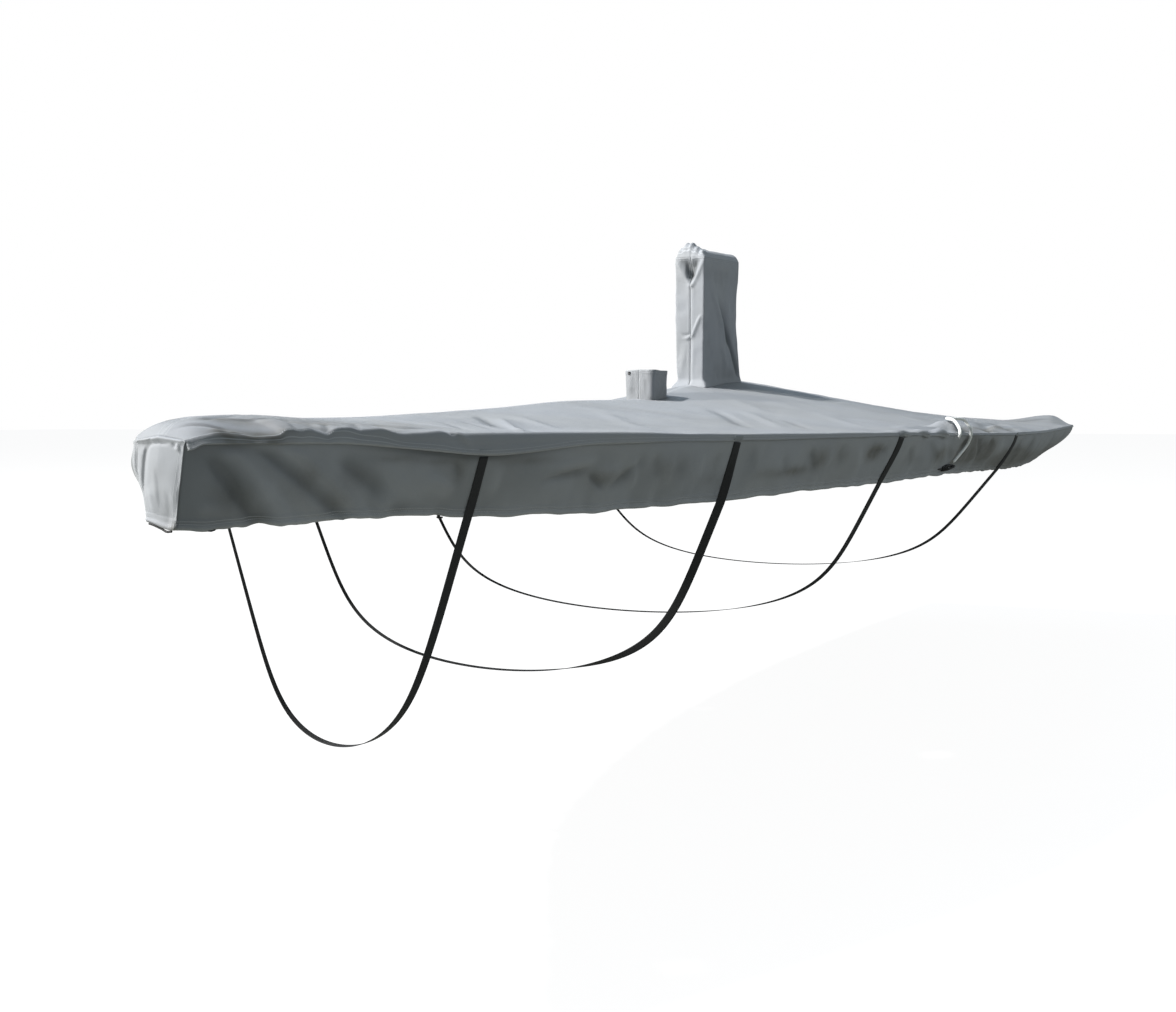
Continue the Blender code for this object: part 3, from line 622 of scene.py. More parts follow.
# %% [markdown]
# ## The top
# Each half of the top is one panel from the ridge, out over the gunwale and down to the lower edge of
# the roll, where it turns under. Its grid is fine at the nose, where folds are small, and coarser aft.
# The openings for the stay, the mast and the hood are left out of it along the ridge.

# %% Openings, folds, edges and dirt of the top
SEAM_EASE = 0.0008
TOP_PITCHES = ((0.62, 0.0045), (1.3, 0.007), (2.6, 0.012), (4.4, 0.019), (LENGTH, 0.032))
OPENINGS = ((STAY_SLOT["aft"] - STAY_SLOT["length"] / 2.0, STAY_SLOT["aft"] + STAY_SLOT["length"] / 2.0,
             STAY_SLOT["half_width"]),
            (COLLAR["front"] - SEAM_EASE, COLLAR["back"] + SEAM_EASE, COLLAR["half_width"] + GAP),
            (HOOD["front"] - SEAM_EASE, HOOD["back"] + SEAM_EASE, HOOD["half_width"] + GAP))
PORT_TOP_FOLDS = (
    # from the stay's slot to the corner of the nose, and along the edge behind it
    ((270, -200), (160, -115), (50, -50), -5, 9, 0.4),
    ((20, -60), (60, -30), (100, 4), -5, 6, 0.3, "end"),
    ((40, -12), (90, -4), (140, 2), 3.5, 7, 0),
    ((100, -90), (200, -70), (340, -100), 4, 11, -0.3),
    # crumples over the edge where the cloth is slack
    ((190, -75), (220, -30), (235, 10), 5, 8, 0.3),
    ((235, -85), (262, -40), (270, 12), -6.5, 8, -0.2),
    ((270, -100), (295, -45), (300, 8), 5.5, 9, 0.3),
    ((305, -100), (325, -40), (335, 12), -6, 8, 0),
    ((335, -90), (380, -50), (430, -20), 5, 10, 0.4),
    ((400, -120), (450, -65), (480, 14), -5.5, 9, 0.3),
    ((430, -160), (500, -90), (560, -30), 5.5, 12, -0.3),
    ((480, -60), (565, -40), (600, 30), -6.5, 8, -0.4, "start"),
    ((560, -30), (600, 0), (630, 30), 4, 9, 0.2),
    # short sharp creases over the edge
    ((236, -34), (228, -10), (216, 8), -2.5, 5, 0.3),
    ((325, -60), (306, -15), (286, 10), -4.5, 6, 0),
    ((405, -70), (378, -20), (356, 10), -3, 6, 0.3),
    ((440, -70), (452, -30), (462, 4), -3, 6, 0),
    ((1205, -560), (1012, -352), (822, -70), -4, 7, 0.4),
    ((1190, -460), (985, -262), (800, -20), -4.5, 6, -0.4, "start"),
    ((980, -400), (860, -230), (740, -20), -3, 7, 0.3),
    ((860, -330), (760, -190), (660, -20), -3, 7, 0.3),
    ((2660, -740), (2118, -390), (1760, -60), -3, 8, 0.4),
    # long soft creases that run aft and inboard
    ((600, -350), (560, -200), (620, -50), 5, 14, 0.4),
    ((720, -390), (660, -220), (700, -60), -5, 12, -0.3),
    ((1211, -554), (1019, -350), (824, -100), -6, 13, 0.5),
    ((1200, -480), (975, -259), (790, -30), 6, 11, -0.4, "start"),
    ((1330, -560), (1120, -300), (960, -60), 3.5, 18, 0.3),
    ((1900, -700), (1500, -380), (1300, -70), 3, 24, 0.3),
    ((2680, -756), (2128, -394), (1763, -90), -5.5, 15, 0.5),
    ((2700, -650), (2230, -330), (1900, -60), 4.5, 20, -0.3),
    ((2476, -358), (2279, -237), (2066, -60), -4.5, 12, 0.4),
    ((3000, -500), (2720, -250), (2500, -50), 3.5, 22, 0.3),
    # drawn up to the side stay from ahead
    ((3200, -60), (3020, -110), (2720, -90), 8, 18, 0.4, "end"),
    ((3170, -30), (2980, -40), (2780, 4), -9, 18, 0, "end"),
    # slack lobes over the edge ahead of the stay
    ((2860, -60), (2920, -20), (3020, 10), 8, 16, 0.2),
    ((2640, -70), (2720, -25), (2800, 10), -6, 16, 0.2),
    ((2520, -30), (2580, 4), (2660, 30), 8, 14, -0.5),
    ((2700, -30), (2780, 6), (2860, 34), 10, 16, -0.5),
    ((2900, -25), (2980, 8), (3080, 34), 10, 16, -0.5),
    # behind the stay, and inboard of it
    ((3360, -70), (3440, -20), (3500, 10), -9, 16, 0.2),
    ((3560, -80), (3660, -30), (3740, 10), 8, 20, 0.2),
    ((3720, -90), (3900, -40), (4080, 8), -8, 20, 0.3),
    ((3210, -80), (3050, -200), (2900, -330), 4, 16, 0.3, "end"),
    ((3400, -60), (3520, -90), (3720, -70), 6, 18, 0.4),
    ((3400, -30), (3520, -20), (3800, 0), -5, 16, 0),
    ((3380, -140), (3460, -240), (3600, -360), 4, 18, -0.3),
    # long ones that fall away aft to the stern's corner
    ((3620, 4), (3880, -78), (4700, -230), -10, 24, 0.4, "start"),
    ((3780, 0), (4020, -60), (4800, -170), 8, 26, 0.2),
    ((4220, 6), (4360, -70), (5200, -240), -10, 28, 0.4, "start"),
    ((4400, 0), (4600, -60), (5500, -190), 6, 34, 0),
    ((3850, -180), (4200, -120), (4600, -20), 4, 30, 0.3),
    ((5100, -200), (5500, -120), (6000, -30), 4, 36, 0.3),
    ((6900, -330), (7120, -260), (7200, -80), -6, 28, 0.3),
    ((6600, -400), (6800, -220), (6850, -60), 4, 34, 0.3),
    # from the foot of the hood
    ((3640, -980), (4200, -700), (4700, -420), 3.5, 34, 0.3),
    ((3100, -980), (2900, -700), (2600, -450), 3.5, 28, 0.3),
)
STARBOARD_TOP_FOLDS = (
    ((260, -190), (150, -110), (50, -50), -5, 10, 0.4),
    ((230, -80), (260, -40), (270, 10), 5, 9, 0.3),
    ((340, -100), (370, -45), (380, 12), -5, 10, 0),
    ((440, -150), (500, -80), (550, -20), 5, 12, 0.3),
    ((1150, -520), (960, -330), (780, -80), -5, 14, 0.4),
    ((1260, -500), (1060, -280), (880, -40), 5, 13, -0.4),
    ((2500, -700), (2050, -380), (1700, -80), -5, 18, 0.4),
    ((2720, -640), (2260, -330), (1960, -50), 4, 22, -0.3),
    ((3100, -980), (2860, -700), (2550, -430), 3.5, 28, 0.3),
    ((3640, -980), (4150, -700), (4660, -400), 3.5, 34, 0.3),
    ((3190, -60), (3000, -120), (2700, -100), 5, 18, 0.4, "end"),
    ((3280, -60), (3440, -110), (3700, -90), 5, 20, 0.4, "end"),
    ((4100, -300), (4500, -180), (4900, -40), 4, 32, 0.3),
    ((6850, -330), (7100, -240), (7200, -70), -6, 28, 0.3),
)
# the slack edge stands up a little near the bow: place along the hull and height, in millimetres
PORT_EDGE = (
    (0, 0), (30, 9), (60, 15), (95, 10), (130, 6), (170, 6), (188, 9), (200, 19),
    (215, 21), (232, 17), (248, 21), (268, 17), (289, 9), (305, 19), (335, 24), (365, 18),
    (410, 20), (456, 9), (505, 10), (550, 13), (585, 7), (740, 7), (900, 6), (1100, 4),
    (1350, 3), (1600, 1), (2000, 0), (7500, 0),
)
STARBOARD_EDGE = (
    (0, 0), (30, 8), (120, 8), (200, 5), (300, 6), (500, 12), (700, 6), (1200, 3),
    (2000, 0), (7500, 0),
)
# dirt: place along the hull, distance down, two half sizes, strength
TOP_SOIL = (
    (72, -8, 26, 12, 0.8), (120, -80, 60, 30, 0.8), (160, -50, 60, 30, 0.3),
    (130, 5, 65, 18, 1.6), (280, -70, 90, 60, 0.7), (430, -110, 100, 80, 0.85),
    (600, -130, 70, 70, 0.35), (3440, -50, 70, 45, 1.4), (3600, -70, 60, 40, 0.7),
    (3300, -20, 80, 20, 0.6), (3900, -40, 100, 30, 0.5), (3880, -78, 220, 30, 1.2),
    (4360, -70, 260, 30, 1), (6900, -300, 350, 200, 0.3),
)
print("top folds:", len(PORT_TOP_FOLDS) + len(STARBOARD_TOP_FOLDS))

# %% Helpers for the top
def ridge_edge(aft):
    """How far out the top's inner edge stands."""
    edge = np.zeros_like(aft)
    for front, back, width in OPENINGS:
        edge = np.where((aft >= front - 1e-6) & (aft <= back + 1e-6), width, edge)
    return edge


def clear_of_openings(aft, out):
    """0 at the ridge and the sewn openings, so that the neighbours still meet, and 1 away from them."""
    free = soft_step(out, 0.0, 0.05)
    for front, back, width in OPENINGS:
        past = np.maximum(np.maximum(front - aft, aft - back), 0.0)
        free = free * soft_step(np.hypot(past, np.maximum(out - width, 0.0)), 0.0, 0.05)
    return free


def slack_rise(aft, edge):
    """Rise of a slack edge at places along the hull."""
    table = np.array(edge) / 1000.0
    return smooth_between(table[:, 0], table[:, 1], aft)


print("openings along the ridge:", len(OPENINGS))

# %% Make the top
DECK_ROWS = 58
ROLL_ROWS = 13
RIDGE_REACH = 0.05
SLACK_REACH = 0.13
ROLL_DENT = 0.0012
# painted light: how much paler the roll's face is made
ROLL_PALER = 0.020
# the roll's lip: how far it stands out, and the height, middle and reach of what is added at the first
# strap, at the nose and along its lower edge
ROLL_LIP = {"stand": 0.0035, "strap": (0.004, 0.68, 0.5), "nose": (0.007, 0.10, 0.13),
            "bead": (0.0025, 0.92, 0.10)}
NOSE_FLAP = {"out": 0.003, "down": 0.012, "fade": (0.004, 0.030)}
# how much darker the top is made: near the bow (height, middle, reach), far aft, and where that grows aft
TOP_DARKENING = {"bow": (0.0035, 0.30, 0.26), "stern": 0.0035, "grows": (3.6, 4.8)}
TOP_WAVES = ((0.0022, 0.22, 1.0), (0.0010, 0.07, 1.0))


def top_grid():
    """Places along the hull, and shares out to the gunwale and down the roll, with the holes' edges."""
    edges = [value for front, back, _ in OPENINGS for value in (front - 0.001, front, back, back + 0.001)]
    edges += [SHROUD["aft"] - SHROUD["length"] / 2.0, SHROUD["aft"] + SHROUD["length"] / 2.0]
    hole = [SHROUD["inner"], SHROUD["outer"]]
    shares = 1.0 - (1.0 - np.linspace(0.0, 1.0, DECK_ROWS)) ** 1.25
    shares = [share for share in shares if min(abs(share - edge) for edge in hole) > 0.004]
    rolled = np.linspace(0.0, 1.0, ROLL_ROWS)[1:]
    return even_places(TOP_PITCHES, edges, 0.003), np.array(sorted(shares + hole)), rolled


def rolled_edge(aft, share, side, edge):
    """The roll over the gunwale: its lip turns out, and at the nose it hangs as a small flap."""
    out, height = roll_point(aft, share)
    lip = (ROLL_LIP["stand"] + swell(aft, *ROLL_LIP["strap"])) * soft_step(share, 0.45, 0.9)
    lip += swell(aft, *ROLL_LIP["nose"]) * share + swell(share, *ROLL_LIP["bead"])
    flap = (1.0 - soft_step(aft, *NOSE_FLAP["fade"])) * share
    roll = in_frame(aft, out + lip + NOSE_FLAP["out"] * flap, height - NOSE_FLAP["down"] * flap, side)
    roll[..., 2] += slack_rise(aft, edge) * (1.0 - share) ** 0.8
    return roll


def slack_deck(aft, out, side, edge):
    """The deck part of a top half, with its slack edge raised and both halves level at the ridge."""
    deck = in_frame(aft, out, top_height(aft, out), side)
    at_ridge = 0.5 * (slack_rise(aft, PORT_EDGE) + slack_rise(aft, STARBOARD_EDGE))
    rise = at_ridge + (slack_rise(aft, edge) - at_ridge) * soft_step(out, 0.0, RIDGE_REACH)
    deck[..., 2] += rise * hill(section("breadth", aft) - out, SLACK_REACH)
    return deck


def make_top(side, folds, edge, seed):
    """One half of the top, from the ridge to the lower edge of the roll."""
    places, shares, rolled = top_grid()
    aft, share = np.meshgrid(places, shares, indexing="ij")
    breadth = section("breadth", aft)
    out = breadth * share + ridge_edge(aft) * np.clip(1.0 - share / 0.3, 0.0, 1.0)
    aft_roll, share_roll = np.meshgrid(places, rolled, indexing="ij")
    points = np.concatenate([slack_deck(aft, out, side, edge),
                             rolled_edge(aft_roll, share_roll, side, edge)], 1)

    depth = section("roll", aft_roll) * share_roll
    down = np.concatenate([out - breadth, depth], 1)
    from_edge = np.concatenate([breadth - out + section("roll", aft), section("roll", aft_roll) - depth], 1)
    across = np.concatenate([out, section("breadth", aft_roll) + depth], 1)
    aft = np.concatenate([aft, aft_roll], 1)
    lift = fold_lines(aft, down, folds)
    lift += slack_waves(aft, across, TOP_WAVES, seed)
    lift *= clear_of_openings(aft, across) * soft_step(aft, 0.0, 0.05) * soft_step(LENGTH - aft, 0.0, 0.06)
    lift = np.where(down > 0.0, np.maximum(lift, -ROLL_DENT), lift)
    points = points + outward(points, INSIDE) * lift[..., None]

    middle = (aft[:-1, :-1] + aft[1:, :-1]) / 2.0
    centre = (across[:-1, :-1] + across[:-1, 1:]) / 2.0 / section("breadth", middle)
    hole = ((abs(middle - SHROUD["aft"]) < SHROUD["length"] / 2.0)
            & (centre > SHROUD["inner"]) & (centre < SHROUD["outer"]))
    # the finish paints a low point darker and a high one lighter: the top is made darker near the bow and far
    # aft, and paler along the roll, which is painted light on the roll's face
    darker_amount = swell(aft, *TOP_DARKENING["bow"]) + TOP_DARKENING["stern"] * soft_step(aft, *TOP_DARKENING["grows"])
    rise = lift - darker_amount + ROLL_PALER * soft_step(down, 0.0, 0.004)
    return sheet_mesh("top_cloth_" + SIDE_NAMES[side], points, np.stack([aft, across], -1),
                      np.stack([aft, np.minimum(across, from_edge)], -1), top_canvas_shaded,
                      skip=hole, lift=rise, soil=soil_patches(aft, down, TOP_SOIL))


top_port = make_top(-1, PORT_TOP_FOLDS, PORT_EDGE, 11)
top_starboard = make_top(1, STARBOARD_TOP_FOLDS, STARBOARD_EDGE, 21)
for piece, label in ((top_port, "port"), (top_starboard, "starboard")):
    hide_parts("top_" + label)
    "skirt_" + label
print("top faces:", len(top_port.data.polygons))

# %% [markdown]
# ## The skirts
# A skirt hangs from behind the roll and tucks in under the gunwale. Its hem is the same cloth turned up
# over a draw cord: a flat band with a small round channel at the edge. Drawing the cord in makes the
# puckers that fade out a hand's breadth above the hem.

# %% Folds and dirt of the skirts
SKIRT_PITCHES = ((1.2, 0.006), (2.6, 0.010), (4.4, 0.014), (LENGTH, 0.022))
# main folds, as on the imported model: place at the roll and at the hem, height and half width
PORT_FOLDS = (
    (30, 200, 9, 45), (150, 360, 13, 55), (310, 500, 11, 55), (490, 600, 8, 50),
    (800, 940, 8, 60), (1000, 1100, 6, 55), (1190, 1200, 9, 50), (1340, 1320, 8, 45),
    (1630, 1610, 8, 50), (1820, 1800, 9, 55), (2020, 2050, 7, 55), (2240, 2280, 9, 60),
    (2700, 2740, 8, 60), (2960, 3020, 11, 65), (3220, 3200, 13, 55), (3560, 3600, 12, 65),
    (3900, 3860, 8, 80), (4650, 4700, 7, 100), (5250, 5200, 6, 120), (5950, 6000, 6, 140),
    (6700, 6650, 5, 140),
)
STARBOARD_FOLDS = (
    (50, 170, 10, 50), (220, 340, 10, 55), (420, 520, 9, 55), (820, 880, 8, 60),
    (1100, 1140, 8, 60), (1340, 1360, 7, 50), (1680, 1660, 9, 60), (1930, 1960, 7, 60),
    (2220, 2200, 9, 65), (2780, 2760, 9, 65), (3000, 3040, 10, 60), (3260, 3300, 12, 60),
    (3620, 3660, 10, 70), (4000, 3960, 7, 80), (4700, 4660, 7, 110), (5400, 5460, 6, 120),
    (6200, 6160, 5, 150), (6900, 6940, 5, 120),
)
PORT_SKIRT_FOLDS = (
    # the long diagonals from the nose
    ((22, 16), (88, 100), (165, 195), -8.5, 17, -0.35, "start"),
    ((85, 20), (165, 90), (250, 190), 5, 18, 0.2, "none"),
    ((145, 17), (238, 95), (350, 182), -8, 18, -0.35, "none"),
    ((215, 20), (310, 85), (410, 180), 5, 18, 0.2, "none"),
    ((301, 28), (365, 89), (470, 160), -6.5, 19, -0.3),
    ((390, 40), (450, 80), (530, 150), 3.5, 18, 0.2),
    ((20, 150), (60, 140), (110, 170), 3, 14, 0),
    # bellied out before the first strap, pulled in at it
    ((520, 90), (585, 110), (640, 150), 5, 20, 0.3),
    ((590, 45), (632, 95), (652, 150), -7, 10, 0.4),
    ((700, 60), (730, 100), (720, 160), 3.5, 16, 0.2),
    # the streaks and the soft fan behind it
    ((830, 120), (920, 98), (1010, 84), -6, 9, 0.4),
    ((850, 86), (930, 72), (1020, 62), 4, 12, 0.2),
    ((985, 96), (1020, 125), (1062, 148), -6.5, 10, -0.3),
    ((1062, 148), (1105, 118), (1180, 55), -5.5, 11, 0.3),
    ((1010, 85), (1055, 110), (1105, 85), 4.5, 13, 0),
    ((1135, 55), (1150, 100), (1150, 160), 4, 12, 0.2),
    ((1200, 45), (1225, 90), (1235, 130), -4, 18, 0.2),
    ((1262, 50), (1275, 95), (1280, 150), 4.5, 14, 0),
    ((1300, 60), (1330, 100), (1325, 150), -3.5, 20, -0.2),
    ((1385, 40), (1385, 90), (1400, 150), 4, 16, 0),
    ((1455, 36), (1460, 90), (1480, 140), -3, 22, 0.2),
    # puckers between the second and the third strap
    ((1600, 40), (1640, 80), (1650, 120), -3.5, 28, 0.3),
    ((1690, 36), (1730, 80), (1760, 130), 2.5, 30, 0),
    ((1785, 60), (1800, 90), (1820, 120), -3.5, 20, -0.2),
    ((1860, 34), (1895, 80), (1930, 130), 3, 30, 0.2),
    ((1930, 36), (1975, 80), (2020, 130), -6.5, 17, 0.3),
    ((2050, 50), (2080, 80), (2100, 110), 2.5, 26, 0),
    ((2119, 38), (2150, 75), (2190, 105), -3.5, 26, -0.3),
    ((2230, 40), (2270, 80), (2300, 130), 4, 20, 0),
    ((2330, 75), (2430, 58), (2520, 66), -6, 12, 0.2),
    # drawn to the tie
    ((2680, 50), (2740, 85), (2790, 130), -5, 22, 0.3),
    ((2860, 30), (2960, 80), (3120, 120), -6, 22, 0.3),
    ((3010, 25), (3090, 60), (3190, 110), 6, 22, 0),
    ((3063, 55), (3150, 80), (3237, 105), -6, 18, 0),
    ((3300, 24), (3360, 60), (3430, 110), -11, 24, 0.3),
    ((3470, 25), (3520, 60), (3600, 120), 6, 26, 0),
    ((3500, 24), (3620, 65), (3730, 122), -10, 30, -0.3),
    ((3756, 20), (3820, 40), (3900, 80), -6.5, 28, 0.3),
    ((3980, 30), (4040, 70), (4080, 120), 5, 34, 0),
    ((4450, 40), (4560, 80), (4640, 140), -5, 44, 0.2),
    ((4900, 40), (5060, 80), (5200, 140), -5, 50, 0.2),
    ((5900, 40), (6100, 80), (6250, 140), -5, 60, 0.2),
    ((6800, 40), (6900, 80), (7050, 140), -5, 60, 0.2),
)
STARBOARD_SKIRT_FOLDS = (
    ((40, 22), (110, 106), (200, 195), -8, 18, -0.35, "start"),
    ((110, 20), (180, 90), (270, 190), 5, 18, 0.2, "none"),
    ((180, 17), (280, 100), (390, 187), -7, 20, -0.35, "none"),
    ((340, 28), (400, 89), (500, 160), -6, 20, -0.3),
    ((590, 45), (630, 95), (645, 150), -6, 12, 0.4),
    ((860, 110), (940, 90), (1030, 90), -5, 12, 0.4),
    ((1120, 50), (1160, 100), (1160, 160), -5, 14, 0.2),
    ((1300, 50), (1320, 90), (1350, 150), -5, 15, -0.2),
    ((1620, 40), (1660, 80), (1680, 140), -5, 18, 0.3),
    ((1820, 36), (1850, 80), (1880, 140), -6, 18, -0.2),
    ((2000, 36), (2040, 80), (2090, 130), -6, 18, 0.3),
    ((2300, 40), (2360, 80), (2400, 130), 4, 22, 0),
    ((2900, 30), (3000, 80), (3130, 120), -6, 24, 0.3),
    ((3340, 30), (3430, 60), (3500, 110), -7, 28, 0.3),
    ((3640, 30), (3720, 65), (3820, 122), -7, 30, -0.3),
    ((4480, 40), (4580, 80), (4680, 140), -5, 46, 0.2),
    ((5200, 40), (5360, 80), (5500, 140), -5, 54, 0.2),
    ((6300, 40), (6460, 80), (6600, 140), -5, 60, 0.2),
)
# dirt: place along the hull, distance down, two half sizes, strength; the thin rows at 470, 560 and
# 790 mm, just under the roll, are painted shadow of the roll
SKIRT_SOIL_AND_SHADOW = (
    (110, 125, 45, 50, 0.5), (160, 180, 35, 30, 0.36), (260, 90, 40, 50, 0.5),
    (330, 150, 40, 40, 0.43), (370, 90, 50, 30, 0.36), (470, 50, 60, 10, 0.5),
    (560, 60, 50, 10, 0.5), (620, 80, 18, 40, 0.36), (500, 170, 50, 16, 0.36),
    (790, 62, 90, 12, 0.43), (930, 100, 70, 14, 0.43), (1040, 115, 50, 24, 0.5),
    (1120, 110, 30, 20, 0.36), (1270, 95, 60, 40, 0.36), (1460, 130, 60, 20, 0.29),
    (1720, 120, 90, 16, 0.36), (1880, 115, 90, 16, 0.9), (2020, 80, 50, 34, 0.8),
    (2160, 80, 50, 26, 0.29), (2400, 66, 65, 26, 1.6), (2800, 100, 90, 20, 0.29),
    (3060, 85, 80, 30, 0.9), (3280, 120, 60, 30, 0.7), (3440, 66, 160, 50, 2.4),
    (3740, 80, 120, 40, 1.6), (3860, 60, 80, 40, 0.9), (4500, 115, 450, 40, 2.2),
    (5200, 130, 500, 30, 0.8), (6500, 130, 600, 40, 0.9),
)
print("skirt folds:", len(PORT_SKIRT_FOLDS) + len(STARBOARD_SKIRT_FOLDS))

# %% Make the skirts
HEM_BAND = 0.0012
HEM_FOLD = (0.021, 0.026)
HEM_CHANNEL = {"skirt": 0.0030, "end": 0.0028, "above": 0.006, "reach": 0.0075}
SKIRT_WAVES = ((0.0022, 0.10, 1.0), (0.0012, 0.035, 0.6))
PUCKER = {"bow": 0.0036, "eases": 0.0031, "from": (0.5, 2.0), "fade": 0.04}
PUCKER_SIZE = {-1: 0.030, 1: 0.050}
SCALLOP = {"share": 0.9, "size": 0.060, "fade": 0.03}
BOW_SCALLOP = {"height": 0.0022, "size": 0.020, "fade": 0.012, "until": (0.25, 0.6)}
NOSE_BEND = {"down": 0.25, "reach": 0.42, "rise": 0.016}
STARBOARD_BELLY = (0.028, 0.045, 0.10)
# how much darker the skirt is made: at the nose, behind it and far aft; and a line of painted shadow
# under the slack roll
SKIRT_DARKENING_AND_SHADOW = {"nose": 0.0095, "nose_fade": (0.05, 0.24), "bow": (0.0035, 0.64, 0.42),
              "line": (0.0120, 0.60, 0.36), "line_down": 0.003, "line_half": 0.009,
              "stern": 0.0030, "grows": (3.2, 4.4)}
HEM_DIRT = {"strength": 1.1, "fade": 0.022, "grows": (3.2, 4.6)}


def hem_relief(above_hem, channel):
    """The turned-up band of a hem, and near its edge the channel of the draw cord."""
    band = HEM_BAND * (1.0 - soft_step(above_hem, *HEM_FOLD))
    return band + swell(above_hem, channel, HEM_CHANNEL["above"], HEM_CHANNEL["reach"])


def hem_scallop(aft, above_hem, drawn_in, seed):
    """How the draw cord puckers the hem up and down, finest near the bow."""
    still = np.zeros_like(aft)
    wide = SCALLOP["share"] * drawn_in * waves(aft, still, SCALLOP["size"], seed)
    fine = BOW_SCALLOP["height"] * (1.0 - soft_step(aft, *BOW_SCALLOP["until"]))
    fine = fine * waves(aft, still, BOW_SCALLOP["size"], seed + 1)
    return wide * np.exp(-above_hem / SCALLOP["fade"]) + fine * np.exp(-above_hem / BOW_SCALLOP["fade"])


def skirt_darkening_and_shadow(aft, down, rolled):
    """How much darker the skirt is made, given to the finish as if the cloth lay lower there."""
    darker_table = SKIRT_DARKENING_AND_SHADOW
    darker_amount = darker_table["nose"] * (1.0 - soft_step(aft, *darker_table["nose_fade"])) + swell(aft, *darker_table["bow"])
    # painted shadow of the slack roll, in a line just under it
    height, middle, reach = darker_table["line"]
    darker_amount += height * bell(down - rolled - darker_table["line_down"], darker_table["line_half"]) * hill(aft - middle, reach)
    return darker_amount + darker_table["stern"] * soft_step(aft, *darker_table["grows"])


def make_skirt(side, main_folds, small_folds, seed):
    """One skirt, from behind the roll to its drawn-in hem."""
    places = even_places(SKIRT_PITCHES)
    shares = np.concatenate([[0.0], np.linspace(0.0, 0.78, 22), np.linspace(0.80, 1.0, 15)])
    aft, share = np.meshgrid(places, shares, indexing="ij")
    drop = section("drop", aft)
    rolled = section("roll", aft)
    height = skirt_height(aft, share)
    height[:, 0] += np.minimum(0.008, 0.35 * rolled[:, 0])
    above_hem = (1.0 - share) * (drop - rolled)
    down = rolled + share * (drop - rolled)
    out = skirt_out(aft, share) + fold_lift(aft, share, main_folds)

    free = away_from_straps(aft, 0.018, 0.05) * clear_of_ends(aft, 0.05, 0.08)
    lift = fold_lines(aft, down, small_folds)
    drawn_in = PUCKER["bow"] - PUCKER["eases"] * soft_step(aft, *PUCKER["from"])
    lift += slack_waves(aft, down, SKIRT_WAVES, seed)
    puckers = drawn_in * waves(aft, down * 0.2, PUCKER_SIZE[side], seed + 2)
    lift += puckers * np.exp(-above_hem / PUCKER["fade"])
    lift *= free * soft_step(share, 0.0, 0.15)
    lift *= 1.0 - 0.65 * soft_step(aft, 1.0, 1.8) * np.exp(-above_hem / 0.03)
    scallop = hem_scallop(aft, above_hem, drawn_in, seed + 3)
    if side > 0:
        # round the nose the starboard skirt bellies out and its hem climbs
        out += swell(aft, *STARBOARD_BELLY) * hill(share - NOSE_BEND["down"], NOSE_BEND["reach"])
        height = height + NOSE_BEND["rise"] * hill(aft, 0.16) * share ** 2
    points = in_frame(aft, out, height + scallop * free, side)
    hem = hem_relief(above_hem, HEM_CHANNEL["skirt"])
    points = points + outward(points, INSIDE) * (lift + hem)[..., None]

    seam = np.stack([aft, np.minimum(above_hem - 0.008, 0.5)], -1)
    soil = soil_patches(aft + (0.04 if side > 0 else 0.0), down, SKIRT_SOIL_AND_SHADOW)
    along_hem = HEM_DIRT["strength"] * np.exp(-above_hem / HEM_DIRT["fade"])
    soil = soil + along_hem * soft_step(aft, *HEM_DIRT["grows"])
    return sheet_mesh("skirt_cloth_" + SIDE_NAMES[side], points, np.stack([aft, down], -1), seam, canvas,
                      lift=lift - skirt_darkening_and_shadow(aft, down, rolled), soil=soil)


skirt_port = make_skirt(-1, PORT_FOLDS, PORT_SKIRT_FOLDS, 31)
skirt_starboard = make_skirt(1, STARBOARD_FOLDS, STARBOARD_SKIRT_FOLDS, 41)
for piece, label in ((skirt_port, "port"), (skirt_starboard, "starboard")):
    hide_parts("skirt_" + label)
    "top_cloth_" + label
print("skirt faces:", len(skirt_port.data.polygons))

# %% [markdown]
# ## Nose and stern panels
# The ends are closed by small panels sewn round three sides. The nose panel bulges a little over the
# stem, and its upper corner is tucked, so it creases there. The stern panel is wide and hangs plainly.

# %% Folds and dirt of the end panels
NOSE_BELLY = 0.0162
NOSE_FOLDS = (
    ((-60, 2), (0, 4), (60, 2), 4.5, 5, 0, "none"),
    ((-30, 15), (10, 13), (40, 12), -4.5, 4, 0.2, "start"),
    ((30, 10), (43, 30), (45, 150), -4.5, 6, 0.4, "end"),
    ((-48, 6), (-54, 16), (-50, 30), 3.5, 5, -0.3),
    ((-36, 8), (-40, 14), (-42, 22), -2.5, 4, 0),
    ((6, 60), (-4, 110), (-4, 165), -2, 9, 0.3),
    ((-22, 100), (-30, 140), (-22, 180), -1.5, 8, 0, "start"),
    ((26, 100), (22, 140), (12, 180), 2.5, 9, 0),
    ((60, 12), (66, 60), (58, 120), -4.5, 4, 0.2),
)
# across, down, two half sizes, strength: painted shade at the nose's lower port corner, then a faint dark
# band along the bottom edge
NOSE_SOIL_AND_SHADE = ((-39, 190, 10, 14, 1), (0, 194, 40, 4, 0.3))
STERN_FOLDS = (
    ((-900, 10), (-820, 80), (-760, 180), -6, 16, 0.3, "end"),
    ((-600, 10), (-620, 80), (-560, 190), 5, 20, 0.2),
    ((-280, 20), (-250, 90), (-280, 180), -5, 18, -0.2),
    ((40, 10), (20, 80), (60, 180), 5, 22, 0.2),
    ((340, 20), (360, 90), (330, 180), -5, 18, 0.3),
    ((620, 10), (600, 80), (640, 180), 5, 20, 0),
    ((890, 10), (830, 80), (760, 180), -6, 16, -0.3, "end"),
)
print("end folds:", len(NOSE_FOLDS) + len(STERN_FOLDS))

